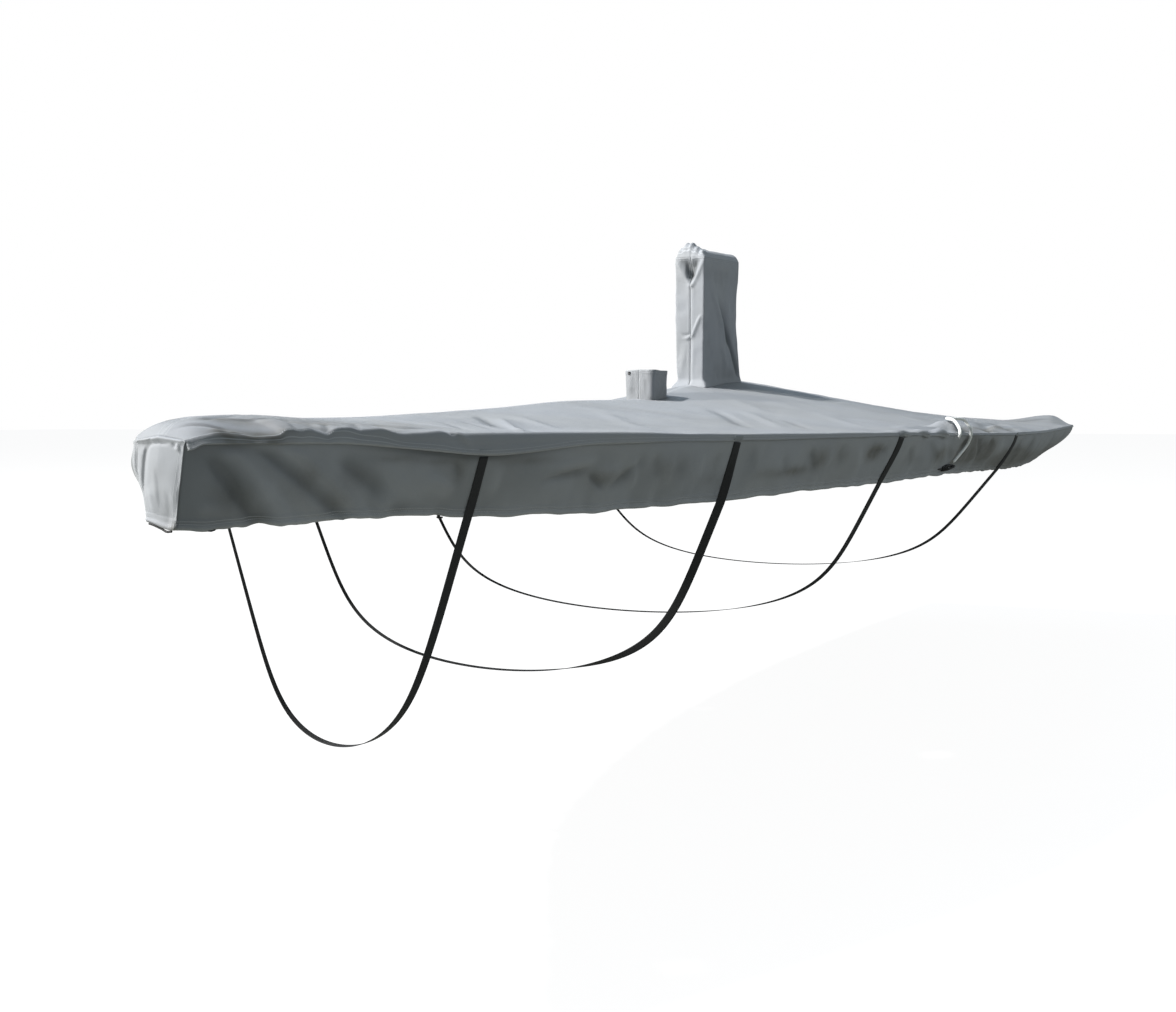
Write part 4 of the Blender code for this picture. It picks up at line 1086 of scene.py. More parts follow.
# %% End panels
def end_outline(aft, share):
    """Distance out and height of the cover's side where an end panel meets it."""
    drop = float(section("drop", aft))
    roll = float(section("roll", aft))
    depth = drop * share
    rolled_out, rolled_height = roll_point(np.full_like(share, aft), np.minimum(depth / roll, 1.0))
    below = np.clip((depth - roll) / (drop - roll), 0.0, 1.0)
    hung_out = skirt_out(np.full_like(share, aft), below)
    on_roll = depth <= roll
    return (np.where(on_roll, rolled_out, hung_out),
            np.where(on_roll, rolled_height, float(section("gunwale", aft)) - depth))


def make_end_panel(name, aft, way, grid, bulge, folds, dirt, seed):
    """A panel across one end; way is -1 for the nose and 1 for the stern, grid is rows by columns."""
    rows, columns = grid
    share, across = np.meshgrid(np.linspace(0.0, 1.0, rows), np.linspace(-1.0, 1.0, columns), indexing="ij")
    drop = float(section("drop", aft))
    gunwale = float(section("gunwale", aft))
    breadth, side_height = end_outline(aft, share)
    top = top_height(np.full_like(share, aft), np.abs(across) * float(section("breadth", aft)))
    height = side_height + (top - gunwale) * (1.0 - share)
    edge = 1.0 - across ** 2
    inner = np.minimum(edge * 6.0, 1.0)
    down = share * drop
    above_hem = (1.0 - share) * drop
    if way < 0:
        # the nose panel follows the starboard skirt, which bellies out and climbs there
        rolled = float(section("roll", aft)) / drop
        below = (share - rolled) / (1.0 - rolled)
        belly = swell(below, NOSE_BELLY, NOSE_BEND["down"], NOSE_BEND["reach"])
        breadth = breadth + belly * soft_step(across, 0.0, 1.0)
        height = height + NOSE_BEND["rise"] * soft_step(across, -0.9, 1.0) * share ** 2
    stand = bulge * np.sin(np.pi * np.minimum(share, 0.9)) ** 0.8 * edge
    stand += 0.08 * bulge * np.sin(7.0 * across + 1.0) * np.sin(np.pi * share) * edge
    free = np.clip(inner, 0.0, 1.0) * soft_step(share, 0.0, 0.02)
    lift = fold_lines(across * breadth, down, folds) * free
    lift += 0.0015 * waves(across * breadth, down, 0.04, seed) * free
    hem = hem_relief(above_hem, HEM_CHANNEL["end"])
    breadth = breadth + hem
    x = aft + way * (GAP + 0.002 + np.maximum(stand + lift + hem * inner, 0.0)) - LENGTH / 2.0
    points = np.stack([x, across * breadth, height], -1)
    seam = np.stack([down, (1.0 - np.abs(across)) * breadth], -1)
    return sheet_mesh(name, points, np.stack([across * breadth, down], -1), seam, canvas,
                      lift=lift, soil=soil_patches(across * breadth, down, dirt))


nose = make_end_panel("nose_cloth", 0.0, -1, (91, 73), 0.010, NOSE_FOLDS, NOSE_SOIL_AND_SHADE, 51)
stern = make_end_panel("stern_cloth", LENGTH, 1, (41, 161), 0.025, STERN_FOLDS, (), 52)
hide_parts("nose_panel")
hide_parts("stern_panel")
print("nose faces:", len(nose.data.polygons))

# %% [markdown]
# ## The collar and the hood
# Both are tubes of cloth that stand on the top. The collar wraps the mast and is open at its rim; the
# hood is a tall narrow bag over the lifted keel, with a lid. Each wall is one wrap that meets in a seam
# down the middle of its front, so it is made as a grid: round the plan in one direction and up in the
# other. Folds are placed by the distance round the wall from that seam, and by height.

# %% Plan of a standing wall
def wall_plan(wall, front_step, side_step):
    """Plan from the middle of the front round the port side and back, with the distance round it."""
    corner = wall["corner"]
    reach = wall["half_width"] - corner
    length = wall["back"] - wall["front"]
    turn = np.linspace(0.0, math.pi / 2.0, 6)
    port = [(0.0, -y) for y in np.arange(GAP / 2.0, reach, front_step)]
    port += [(corner - corner * math.cos(a), -(reach + corner * math.sin(a))) for a in turn]
    port += [(x, -wall["half_width"]) for x in np.arange(corner + side_step, length - corner, side_step)]
    port += [(length - corner + corner * math.sin(a), -(reach + corner * math.cos(a))) for a in turn]
    port += [(length, -y) for y in np.arange(reach - front_step, 0.0, -front_step)]
    port.append((length, 0.0))
    plan = np.array([(wall["front"] + x, y) for x, y in port]
                    + [(wall["front"] + x, -y) for x, y in reversed(port[:-1])])
    step = np.linalg.norm(np.diff(plan, axis=0), axis=1)
    along = np.concatenate([[0.0], np.cumsum(step)])
    return plan[:, 0], plan[:, 1], along


def wall_grid(wall, grid):
    """Share of the height, plan and signed way round from the front seam, positive to port."""
    x, y, along = wall_plan(wall, grid["front"], grid["side"])
    share, round_x = np.meshgrid(np.linspace(0.0, 1.0, grid["rows"]), x, indexing="ij")
    way = np.where(along > along.max() / 2.0, along - along.max(), along)
    return share, round_x, np.broadcast_to(y, share.shape), np.broadcast_to(way, share.shape)


print("points round the collar:", len(wall_plan(COLLAR, 0.004, 0.005)[0]))

# %% Collar
SEAT_DEPTH = 0.004
COLLAR_GRID = {"rows": 34, "front": 0.004, "side": 0.005}
RIM_BAND = {"stand": 0.0010, "edge": (0.013, 0.016)}
RIM_WAVES = ((0.0013, 31.0, 0.6), (0.0004, 90.0, 1.0))
COLLAR_WAVES = ((0.0010, 0.03, 1.0),)
COLLAR_FRONT_PULL = 0.002
COLLAR_FOLDS = (
    ((20, 20), (24, 60), (16, 100), 1.6, 7, 0.2),
    ((50, 20), (46, 50), (52, 110), 2.2, 8, -0.3, "end"),
    ((-30, 30), (-36, 70), (-26, 110), 1.8, 8, 0),
    ((85, 10), (110, 50), (90, 100), 2, 12, 0.3),
    ((140, 10), (150, 60), (160, 110), 1.8, 12, 0),
    ((-100, 10), (-120, 60), (-110, 110), 2, 14, 0),
)


def make_collar():
    """The tube of cloth round the mast, with a doubled band at its rim."""
    share, round_x, round_y, way = wall_grid(COLLAR, COLLAR_GRID)
    base = top_height(round_x, np.full_like(share, COLLAR["half_width"])) - SEAT_DEPTH
    rim = COLLAR["rim"] + sum(height * np.sin(way * turns + start) for height, turns, start in RIM_WAVES)
    height = base + (rim - base) * share
    front_pull = COLLAR_FRONT_PULL * np.sin(np.pi * share) * (round_x < COLLAR["front"] + 0.01)
    points = np.stack([round_x - LENGTH / 2.0 - front_pull, round_y * (1.0 + 0.05 * share ** 2), height], -1)
    up = height - base
    lift = fold_lines(way, up, COLLAR_FOLDS) + slack_waves(way, up, COLLAR_WAVES, 61)
    lift *= soft_step(share, 0.0, 0.12) * (1.0 - 0.5 * soft_step(share, 0.85, 1.0))
    lift *= np.clip(np.abs(way) / 0.01, 0.0, 1.0)
    from_rim = rim - height
    band = RIM_BAND["stand"] * (1.0 - soft_step(from_rim, *RIM_BAND["edge"]))
    centre = (COLLAR["front"] / 2.0 + COLLAR["back"] / 2.0 - LENGTH / 2.0, 0.0, 0.15)
    points = points + outward(points, centre) * (lift + band)[..., None]
    seam = np.stack([np.where(from_rim < 0.03, way, up), np.minimum(from_rim, np.abs(way) + 0.001)], -1)
    return sheet_mesh("collar_cloth", points, np.stack([way, up], -1), seam, canvas,
                      inside=centre, lift=lift, soil=np.full_like(share, 0.3))


collar = make_collar()
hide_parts("mast_collar")
print("collar faces:", len(collar.data.polygons))

# %% Folds of the hood
HOOD_GRID = {"rows": 120, "front": 0.0035, "side": 0.008}
HOOD_BACK = ((0.0, 0.0), (0.18, 0.022), (0.45, 0.062), (0.72, 0.058), (0.93, 0.036), (1.0, 0.040))
HOOD_WAVES = ((0.0024, 0.09, 1.0), (0.0012, 0.035, 1.0))
HOOD_BELLY = 0.006
HOOD_LEAN_BACK = 0.014
HOOD_CREASE = {"depth": 0.010, "at_rim": 0.22, "runs_aft": 0.75, "half": 0.16}
HOOD_FLARE = {"out": 0.020, "up": 0.07, "front_share": 0.7, "until": 0.6}
STARBOARD_FLANK = 0.007
SEAM_DIP = (-0.0022, 0.004)
HOOD_CENTRE = ((HOOD["front"] + HOOD["back"] - LENGTH) / 2.0, 0.0, 0.4)
HOOD_FOLDS = (
    # front: the flaps of the V under the lid, the pinch half way and the creases from it
    ((46, 505), (36, 470), (4, 412), 5, 8, 0.2, "none"),
    ((-46, 500), (-30, 470), (-2, 412), 5, 9, -0.2, "none"),
    ((26, 512), (10, 470), (0, 415), -12, 9, 0, "end"),
    ((-22, 512), (-9, 470), (0, 415), -12, 9, 0, "end"),
    ((12, 512), (4, 480), (0, 430), -12, 9, 0, "end"),
    ((-10, 512), (-4, 480), (0, 430), -12, 9, 0, "end"),
    ((46, 300), (30, 270), (8, 215), 6, 7, 0.4, "start"),
    ((-30, 205), (-10, 190), (10, 215), 5, 6, 0.3),
    ((-32, 222), (-12, 206), (4, 226), -3.5, 5, 0),
    ((12, 200), (14, 120), (2, 30), 2.4, 9, 0.3),
    ((-20, 190), (-24, 120), (-40, 40), 2.4, 10, -0.3),
    # port side: the two long creases that fall aft
    ((85, 440), (200, 330), (330, 150), 7, 30, 0.45),
    ((150, 400), (390, 215), (474, 50), -11, 17, -0.3, "start"),
    ((180, 420), (290, 330), (400, 230), 5, 30, 0.3),
    ((240, 180), (300, 110), (340, 30), 5, 24, 0.3),
    ((120, 500), (260, 490), (420, 470), 4, 18, 0),
    # starboard side
    ((-90, 430), (-210, 300), (-330, 130), 8, 34, -0.4),
    ((-200, 440), (-300, 340), (-400, 250), 5, 30, -0.3),
)
print("hood folds:", len(HOOD_FOLDS))

# %% Hood wall
def hood_back(share):
    """How far forward the hood's back edge is drawn in."""
    return smooth_between(*zip(*HOOD_BACK), share)


def hood_points(x, y, share):
    """Outer points of the hood's wall: straight plan at the base, drawn in and creased above it."""
    along = (x - HOOD["front"]) / (HOOD["back"] - HOOD["front"])
    aft = x - hood_back(share) * np.maximum(0.0, along) ** 2
    base = top_height(x, np.full_like(x, HOOD["half_width"])) - SEAT_DEPTH
    rim = HOOD["rim"] + HOOD_LEAN_BACK * along
    height = base + (rim - base) * share
    side_face = hill(along - 0.5, 0.55)
    crease_at = HOOD_CREASE["at_rim"] + HOOD_CREASE["runs_aft"] * (1.0 - share)
    crease = swell(along, HOOD_CREASE["depth"], crease_at, HOOD_CREASE["half"]) * hill(share - 0.5, 0.45)
    belly = HOOD_BELLY * np.sin(np.pi * share) * side_face
    flank = np.where(np.abs(y) > 0.5 * HOOD["half_width"], np.sign(y), 0.0)
    out = y * (1.0 + 0.07 * share) + flank * (belly - crease * side_face)
    flare = HOOD_FLARE["out"] * (1.0 - soft_step(share, 0.0, HOOD_FLARE["up"]))
    flare = flare * (1.0 - HOOD_FLARE["front_share"] * soft_step(along, 0.0, HOOD_FLARE["until"]))
    out = out + (flare + STARBOARD_FLANK * soft_step(share, 0.0, 0.3) * (y > 0.0)) * flank
    aft = aft - flare * (1.0 - soft_step(along, 0.0, 0.04))
    return np.stack([aft - LENGTH / 2.0, out, height], -1), height - base


def make_hood_wall():
    """The wall of the hood, and the points of its upper border for the lid."""
    share, round_x, round_y, way = wall_grid(HOOD, HOOD_GRID)
    points, up = hood_points(round_x, round_y, share)
    lift = fold_lines(way, up, HOOD_FOLDS)
    lift += slack_waves(way, up, HOOD_WAVES, 71)
    lift *= soft_step(share, 0.0, 0.06) * (1.0 - 0.75 * soft_step(share, 0.93, 1.0))
    seam_dip = SEAM_DIP[0] * bell(way, SEAM_DIP[1])
    points = points + outward(points, HOOD_CENTRE) * (lift + seam_dip)[..., None]
    points[:, 0, 1] = np.minimum(points[:, 0, 1], -GAP / 2.0)
    points[:, -1, 1] = np.maximum(points[:, -1, 1], GAP / 2.0)
    rim_gap = (1.0 - share) * 0.5
    seam = np.stack([np.where(np.abs(way) < 0.03, up, way), np.minimum(np.abs(way), rim_gap)], -1)
    piece = sheet_mesh("hood_wall_cloth", points, np.stack([way, up], -1), seam, canvas,
                       inside=HOOD_CENTRE, lift=lift)
    return piece, points[-1]


hood_wall, hood_rim = make_hood_wall()
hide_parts("keel_hood_wall")
print("hood wall faces:", len(hood_wall.data.polygons))

# %% Hood lid
LID_INSETS = np.array((0.0, 0.012, 0.03, 0.055, 0.09, 0.14, 0.20, 0.28, 0.38, 0.50, 0.64, 0.80, 1.0))
LID_CROWN = 0.034
LID_BUNCH = {"height": 0.026, "aft": (0.035, 0.10), "across": (0.014, 0.055)}
LID_RIPPLE = {"height": 0.0045, "across": 260.0, "aft": 40.0, "fade": (0.03, 0.09)}
LID_WAVES = ((0.0015, 0.03, 1.0),)


def bunched(x, y):
    """The tucked cloth at the front of the lid, its ripples and the small waves behind it."""
    from_front = x - (HOOD["front"] - LENGTH / 2.0)
    bunch = swell(from_front, LID_BUNCH["height"], *LID_BUNCH["aft"]) * swell(y, 1.0, *LID_BUNCH["across"])
    ripple = LID_RIPPLE["height"] * np.sin(y * LID_RIPPLE["across"] + from_front * LID_RIPPLE["aft"])
    return bunch + ripple * swell(from_front, 1.0, *LID_RIPPLE["fade"]) + slack_waves(x, y, LID_WAVES, 75)


def make_hood_top():
    """The lid: its border meets the wall, and a bunch of tucked cloth stands at its front."""
    border = hood_rim[:-1].copy()
    border[0, 1] = 0.0
    front = HOOD["front"] + HOOD["corner"] - LENGTH / 2.0
    back = HOOD["back"] - HOOD["corner"] - LENGTH / 2.0
    middle = 0.5 * (front + back)
    spine = border.copy()
    spine[:, 0] = middle + (np.clip(border[:, 0], front, back) - middle) * 0.80
    spine[:, 1] = 0.0
    share = LID_INSETS[:, None, None]
    points = border[None] * (1.0 - share) + spine[None] * share
    rise = (GAP + LID_CROWN * (1.0 - (1.0 - LID_INSETS) ** 5))[:, None]
    rise = rise + bunched(points[..., 0], points[..., 1]) * np.minimum(1.0, LID_INSETS / 0.10)[:, None]
    points[..., 2] += rise
    points = np.concatenate([points, points[:, :1]], 1)
    from_border = np.broadcast_to(LID_INSETS[:, None] * 0.06, points.shape[:2])
    piece = sheet_mesh("hood_lid_cloth", points, points[..., :2], np.stack([points[..., 0], from_border], -1),
                       canvas, inside=HOOD_CENTRE)
    weld = piece.modifiers.new("joined_points", "WELD")
    weld.merge_threshold = 0.0003
    piece.modifiers.move(1, 0)
    return piece


hood_lid = make_hood_top()
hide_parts("keel_hood_top")
print("hood lid faces:", len(hood_lid.data.polygons))

# %% [markdown]
# ## Webbing
# The belly straps are 25 mm polyester webbing, woven thick and flat, with a rib across it every two
# millimetres and a firm edge. A strap follows the hull's section from the seam on one side to the seam
# on the other. Its end is sewn under a small folded tab on the roll.

# %% Webbing finishes
def webbing_finish(name, tone, worn, rib=0.0022):
    """Woven tape: ribs across, fine cords along and a slightly paler, rubbed edge."""
    material, shader = new_finish(name)
    place = Wire.node("TexCoord", output=3)
    along, across = parts(Wire.node("UVMap", {"uv_map": "cloth"}))
    _, away = parts(Wire.node("UVMap", {"uv_map": "seam"}))
    ribs = (along * (2 * math.pi / rib)).sine() * 0.5 + 0.5
    cords = abs((across * (math.pi / 0.0025)).sine())
    fuzz = noise(place, 420.0, 2.0)
    drift = noise(place, 6.0, 3.0)
    edge = away.under(0.002, 0.0012)
    colour = mixed((ribs * 0.30 + cords * 0.25 + drift * 0.35 + fuzz * 0.1).clamped(), tone, worn)
    colour = mixed(edge * drift * 0.6, colour, worn)
    feed(shader, "Base Color", colour)
    feed(shader, "Roughness", (0.52 + fuzz * 0.2).clamped())
    feed(shader, "Normal", bumped(ribs * 0.00022 + cords * 0.00014 + fuzz * 0.00006 + edge * 0.0002))
    shader.inputs["Specular IOR Level"].default_value = 0.35
    shader.inputs["Sheen Weight"].default_value = 0.05
    return material


strap_webbing = webbing_finish("strap_webbing_black", (0.006, 0.006, 0.007, 1.0), (0.022, 0.023, 0.024, 1.0))
tab_webbing = webbing_finish("tab_webbing_grey", (0.17, 0.185, 0.20, 1.0), (0.25, 0.27, 0.285, 1.0), 0.0016)
print("webbing nodes:", len(strap_webbing.node_tree.nodes))

# %% Line of a strap
STRAP_WIDTH = 0.025
STRAP_THICK = 0.0018
STRAP_CLEAR = 0.0007
STRAP_OVER_HEM = 0.0042
STRAP_SHARES = (0.02, 0.22, 0.48, 0.76, 1.0)


def strap_line(strap):
    """Middle line of half a strap, from the seam to the keel, as rows of out, height and slope."""
    aft = np.full(len(STRAP_SHARES), strap["aft"])
    shares = np.array(STRAP_SHARES)
    gunwale = float(section("gunwale", strap["aft"]))
    slope = (skirt_out(aft + 0.01, shares) - skirt_out(aft - 0.01, shares)) / 0.02
    over_hem = STRAP_OVER_HEM * soft_step(shares, 0.6, 1.0)
    out = skirt_out(aft, shares) + STRAP_CLEAR + STRAP_THICK / 2.0 + over_hem
    upper = np.stack([out, skirt_height(aft, shares), slope], 1)
    first = math.asin((gunwale - upper[-1, 1]) / strap["depth"])
    angle = np.linspace(first, math.pi / 2.0, 60)[1:]
    drop = np.sin(angle)

    def hull(deep):
        """Share of the breadth that the hull still has at a share of its depth."""
        return (1.0 - strap["flare"] * deep) * np.sqrt(np.maximum(0.0, 1.0 - deep ** strap["turn"]))

    out = upper[-1, 0] / hull(np.array(math.sin(first))) * hull(drop)
    lower = np.stack([out, gunwale - strap["depth"] * drop, slope[-1] * out / upper[-1, 0]], 1)
    return np.concatenate([upper, lower])


def even_line(points, step):
    """Points at an even step along a line."""
    travelled = np.concatenate([[0.0], np.cumsum(np.linalg.norm(np.diff(points, axis=0), axis=1))])
    wanted = np.linspace(0.0, travelled[-1], max(3, round(travelled[-1] / step) + 1))
    return np.stack([np.interp(wanted, travelled, points[:, k]) for k in range(points.shape[1])], 1), wanted


def unit(vectors):
    """Rows of vectors, each at length one."""
    return vectors / np.linalg.norm(vectors, axis=1, keepdims=True)


print("lowest point of the bow strap", round(float(strap_line(STRAPS["bow"])[-1, 1]), 3))

# %% Straps
def strap_frame(strap, spots, slope):
    """Width and thickness directions of the webbing along its line."""
    wide = unit(np.stack([np.ones(len(spots)), slope, np.zeros(len(spots))], 1))
    thick = unit(np.cross(wide, unit(np.gradient(spots, axis=0))))
    return wide, thick * np.sign((thick * (spots - strap_centre(strap))).sum(1, keepdims=True))


def strap_centre(strap):
    """A point inside the loop of a strap."""
    return np.array([strap["aft"] - LENGTH / 2.0, 0.0, -0.2])


def twisted(strap, spots, slope):
    """The line, width and thickness with the slant and the twist that the port strand has."""
    wide, thick = strap_frame(strap, spots, slope)
    at_top, at_hem = strap["twist"]
    port = soft_step(-spots[:, 1] / np.abs(spots[:, 1]).max(), 0.2, 0.7)
    shift = strap["slant"] * port * soft_step(-spots[:, 2], 0.0, 0.2)
    spots = spots + np.stack([shift, -shift * np.abs(slope), np.zeros(len(spots))], 1)
    degrees = at_top + (at_hem - at_top) * soft_step(-spots[:, 2], 0.03, 0.19)
    bend = (np.radians(degrees) * port)[:, None]
    wide, thick = wide * np.cos(bend) - thick * np.sin(bend), thick * np.cos(bend) + wide * np.sin(bend)
    spots = spots + np.array([0.0, -1.0, 0.0]) * np.abs(np.sin(bend)) * STRAP_WIDTH / 2.0
    return spots, wide, thick


def make_strap(name, strap):
    """One belly strap from seam to seam; gives its length."""
    half = strap_line(strap)
    path, along = even_line(np.concatenate([half * (-1.0, 1.0, -1.0), half[-2::-1]]), 0.008)
    spots = np.stack([np.full(len(path), strap["aft"] - LENGTH / 2.0), path[:, 0], path[:, 1]], 1)
    spots, wide, thick = twisted(strap, spots, path[:, 2])
    across = np.linspace(-0.5, 0.5, 7) * STRAP_WIDTH
    crown = 0.0002 * (1.0 - (2.0 * across / STRAP_WIDTH) ** 2)
    points = (spots[:, None] + wide[:, None] * across[None, :, None]
              + thick[:, None] * (STRAP_THICK / 2.0 + crown)[None, :, None])
    places = np.stack(np.broadcast_arrays(along[:, None], across[None]), -1)
    seam = np.stack(np.broadcast_arrays(along[:, None], (STRAP_WIDTH / 2.0 - np.abs(across))[None]), -1)
    piece = sheet_mesh("webbing_" + name, points, places, seam, strap_webbing,
                       inside=tuple(strap_centre(strap)), thickness=STRAP_THICK)
    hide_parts("strap_" + name)
    length = float(along[-1])
    return length


for name, strap in STRAPS.items():
    print("strap", name, "length", round(make_strap(name, strap), 3), "m")

# %% Tabs
TAB_SIZE = (0.036, 0.0015, 0.011)
TAB_CLEAR = 0.0007
TAB_OVER_STRAP = 0.0024


def make_tab(name, strap, side):
    """A folded tab on the rolled edge, a little bowed, that a strap's end is sewn to."""
    aft = np.array(strap["aft"])
    slope = float(section("breadth", aft + 0.01) - section("breadth", aft - 0.01)) / 0.02
    share = max(0.55, 1.0 - 0.010 / float(section("roll", aft)))
    out, height = (float(v) for v in roll_point(aft, np.array(share)))
    below_out, below_height = (float(v) for v in roll_point(aft, np.array(min(1.0, share + 0.1))))
    lean = math.atan2(out - below_out, height - below_height)
    length, thickness, width = TAB_SIZE
    along, up = np.meshgrid(np.linspace(-0.5, 0.5, 19) * length, np.linspace(-0.5, 0.5, 9) * width,
                            indexing="ij")
    stand = TAB_CLEAR + thickness + TAB_OVER_STRAP + 0.0007 * (1.0 - (2.0 * up / width) ** 2)
    x = strap["aft"] + along
    y = out + stand + up * math.tan(lean) + along * slope
    points = in_frame(x, y, height + 0.0005 + up, side)
    edge = np.minimum(length / 2.0 - np.abs(along), width / 2.0 - np.abs(up))
    label = f"{name}_{SIDE_NAMES[side]}"
    piece = sheet_mesh("tab_" + label, points, np.stack([along, up], -1), np.stack([along, edge], -1),
                       tab_webbing, inside=(strap["aft"] - LENGTH / 2.0, 0.0, height),
                       thickness=thickness)
    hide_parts("strap_tab_" + label)


for name, strap in STRAPS.items():
    for side in (-1, 1):
        make_tab(name, strap, side)
print("tabs:", 2 * len(STRAPS))

# %% [markdown]
# ## Cords
# The tie is a soft white braided cord, 9 mm thick, that leaves a black knot at the hem, climbs the
# skirt, passes behind the side stay and hangs back down to a free, slightly frayed end. A tube along a
# smooth route gives its line, and two sets of strands wound against each other give its braid. The
# braid is loose, so the tube is a little fuller than the cord's nominal thickness.

# %% Cord helpers
def smooth_route(points, step):
    """Even points on a smooth curve through a route's own points."""
    points = np.asarray(points, float)
    padded = np.concatenate([points[:1], points, points[-1:]])
    t = np.linspace(0.0, 1.0, 24, endpoint=False)[:, None]
    fine = []
    for k in range(len(points) - 1):
        a, b, c, d = padded[k:k + 4]
        fine.append(0.5 * (2 * b + (c - a) * t + (2 * a - 5 * b + 4 * c - d) * t ** 2
                           + (3 * b - a - 3 * c + d) * t ** 3))
    fine.append(points[-1:])
    return even_line(np.concatenate(fine), step)[0]


def cord_sides(ahead):
    """Two directions across a cord at each point, carried along it without twist."""
    side = np.cross(ahead[0], (0.0, 0.0, 1.0))
    if np.linalg.norm(side) < 0.1:
        side = np.cross(ahead[0], (0.0, 1.0, 0.0))
    sides_of = [side / np.linalg.norm(side)]
    for direction in ahead[1:]:
        turned = sides_of[-1] - direction * np.dot(sides_of[-1], direction)
        sides_of.append(turned / np.linalg.norm(turned))
    first = np.array(sides_of)
    return first, np.cross(ahead, first)


def cord_mesh(name, route, radius, finish, sides, relief, strands, lay, taper=None):
    """A cord as a mesh tube, with braid relief and rounded ends."""
    route = np.asarray(route, float)
    ahead = unit(np.gradient(route, axis=0))
    travelled = np.concatenate([[0.0], np.cumsum(np.linalg.norm(np.diff(route, axis=0), axis=1))])
    first, second = cord_sides(ahead)
    angle = np.linspace(0.0, 2.0 * math.pi, sides + 1)[:-1]
    twist = 2.0 * math.pi * travelled[:, None] / lay
    braid = np.cos(strands * angle[None] + twist) * np.cos(strands * angle[None] - twist)
    size = radius + relief * braid
    from_end = np.clip(np.minimum(travelled, travelled[-1] - travelled) / radius, 0.0, 1.0)
    size = size * np.sqrt(from_end * (2.0 - from_end) + 0.02)[:, None]
    if taper is not None:
        size = size * taper(travelled)[:, None]
    points = (route[:, None] + first[:, None] * (np.cos(angle)[None] * size)[..., None]
              + second[:, None] * (np.sin(angle)[None] * size)[..., None])
    index = np.arange(len(route) * sides).reshape(len(route), sides)
    after = np.roll(index, -1, 1)
    quads = np.stack([index[:-1], after[:-1], after[1:], index[1:]], -1).reshape(-1, 4).tolist()
    caps = [index[0][::-1].tolist(), index[-1].tolist()]
    mesh = bpy.data.meshes.new(name)
    mesh.from_pydata(points.reshape(-1, 3).tolist(), [], quads + caps)
    mesh.attributes.new("braid", "FLOAT", "POINT").data.foreach_set("value", braid.ravel())
    return new_piece(name, mesh, finish)


print("a straight metre of cord has", len(smooth_route(((0, 0, 0), (1, 0, 0)), 0.01)), "points at 10 mm")

# %% Cord finishes
def cord_finish(name, tone, worn, gloss):
    """Braided cord: paler strands, darker and rougher between them, a little grime."""
    material, shader = new_finish(name)
    place = Wire.node("TexCoord", output=3)
    braid = Wire.node("Attribute", {"attribute_name": "braid"}, output=2)
    fibre = noise(place, 900.0, 2.0, 0.6)
    grime = noise(place, 35.0, 3.0, 0.6)
    share = (braid * 0.30 + 0.35 + fibre * 0.25 + grime * 0.25).clamped()
    feed(shader, "Base Color", mixed(share, worn, tone))
    feed(shader, "Roughness", (gloss + fibre * 0.2).clamped())
    feed(shader, "Normal", bumped(fibre * 0.00015))
    shader.inputs["Specular IOR Level"].default_value = 0.3
    return material


white_cord = cord_finish("tie_cord_white", (0.88, 0.89, 0.88, 1.0), (0.78, 0.78, 0.75, 1.0), 0.6)
black_cord = cord_finish("draw_cord_black", (0.020, 0.020, 0.021, 1.0), (0.006, 0.006, 0.007, 1.0), 0.45)
print("cord nodes:", len(white_cord.node_tree.nodes))

# %% The knot at the hem
KNOT_PLACE = (3.196, 1.014, -0.142)
KNOT_LEAN = math.radians(-3.0)
KNOT_SWING = math.radians(25.0)
BIGHTS = ((0.060, 0.0085), (0.052, 0.0095))
WRAPS = 4


def bight_line(turn, long, high):
    """A closed loop of cord, pulled long and a little crooked."""
    t = np.linspace(0.0, 2.0 * math.pi, 90) + 0.35 * turn
    lean = 0.5 + 1.4 * turn
    round_y = high * np.sin(t)
    return np.stack([long * np.cos(t), round_y * math.cos(lean) + 0.0030 * np.sin(3.0 * t + turn),
                     round_y * math.sin(lean) + 0.0025 * np.cos(2.0 * t)], 1)


def wrap_line():
    """A short helix round the middle of the bights."""
    t = np.linspace(0.0, WRAPS * 2.0 * math.pi, 160)
    return np.stack([-0.026 + 0.034 * t / t[-1], 0.0118 * np.cos(t), 0.0104 * np.sin(t)], 1)


def make_knot():
    """Two long bights of black cord, gripped in the middle by wraps."""
    centre = in_frame(*(np.array(v) for v in KNOT_PLACE), -1)
    cos_swing, sin_swing = math.cos(KNOT_SWING), math.sin(KNOT_SWING)
    cos_lean, sin_lean = math.cos(KNOT_LEAN), math.sin(KNOT_LEAN)
    turn = np.array(((cos_swing, sin_swing, 0.0), (-sin_swing, cos_swing, 0.0), (0.0, 0.0, 1.0)))
    tilt = np.array(((cos_lean, 0.0, sin_lean), (0.0, 1.0, 0.0), (-sin_lean, 0.0, cos_lean)))
    lines = [bight_line(n, *size) for n, size in enumerate(BIGHTS)] + [wrap_line()]
    made = []
    for label, line, radius in zip(("bight_one", "bight_two", "wraps"), lines, (0.0042, 0.0040, 0.0036)):
        route = even_line(line, 0.0022)[0] @ (turn @ tilt).T + centre
        made.append(cord_mesh("knot_" + label, route, radius, black_cord,
                              sides=14, relief=0.0003, strands=5, lay=0.02))
    return made


knot_parts = make_knot()
for piece in knot_parts:
    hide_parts("tie_knot")
print("knot parts:", len(knot_parts))

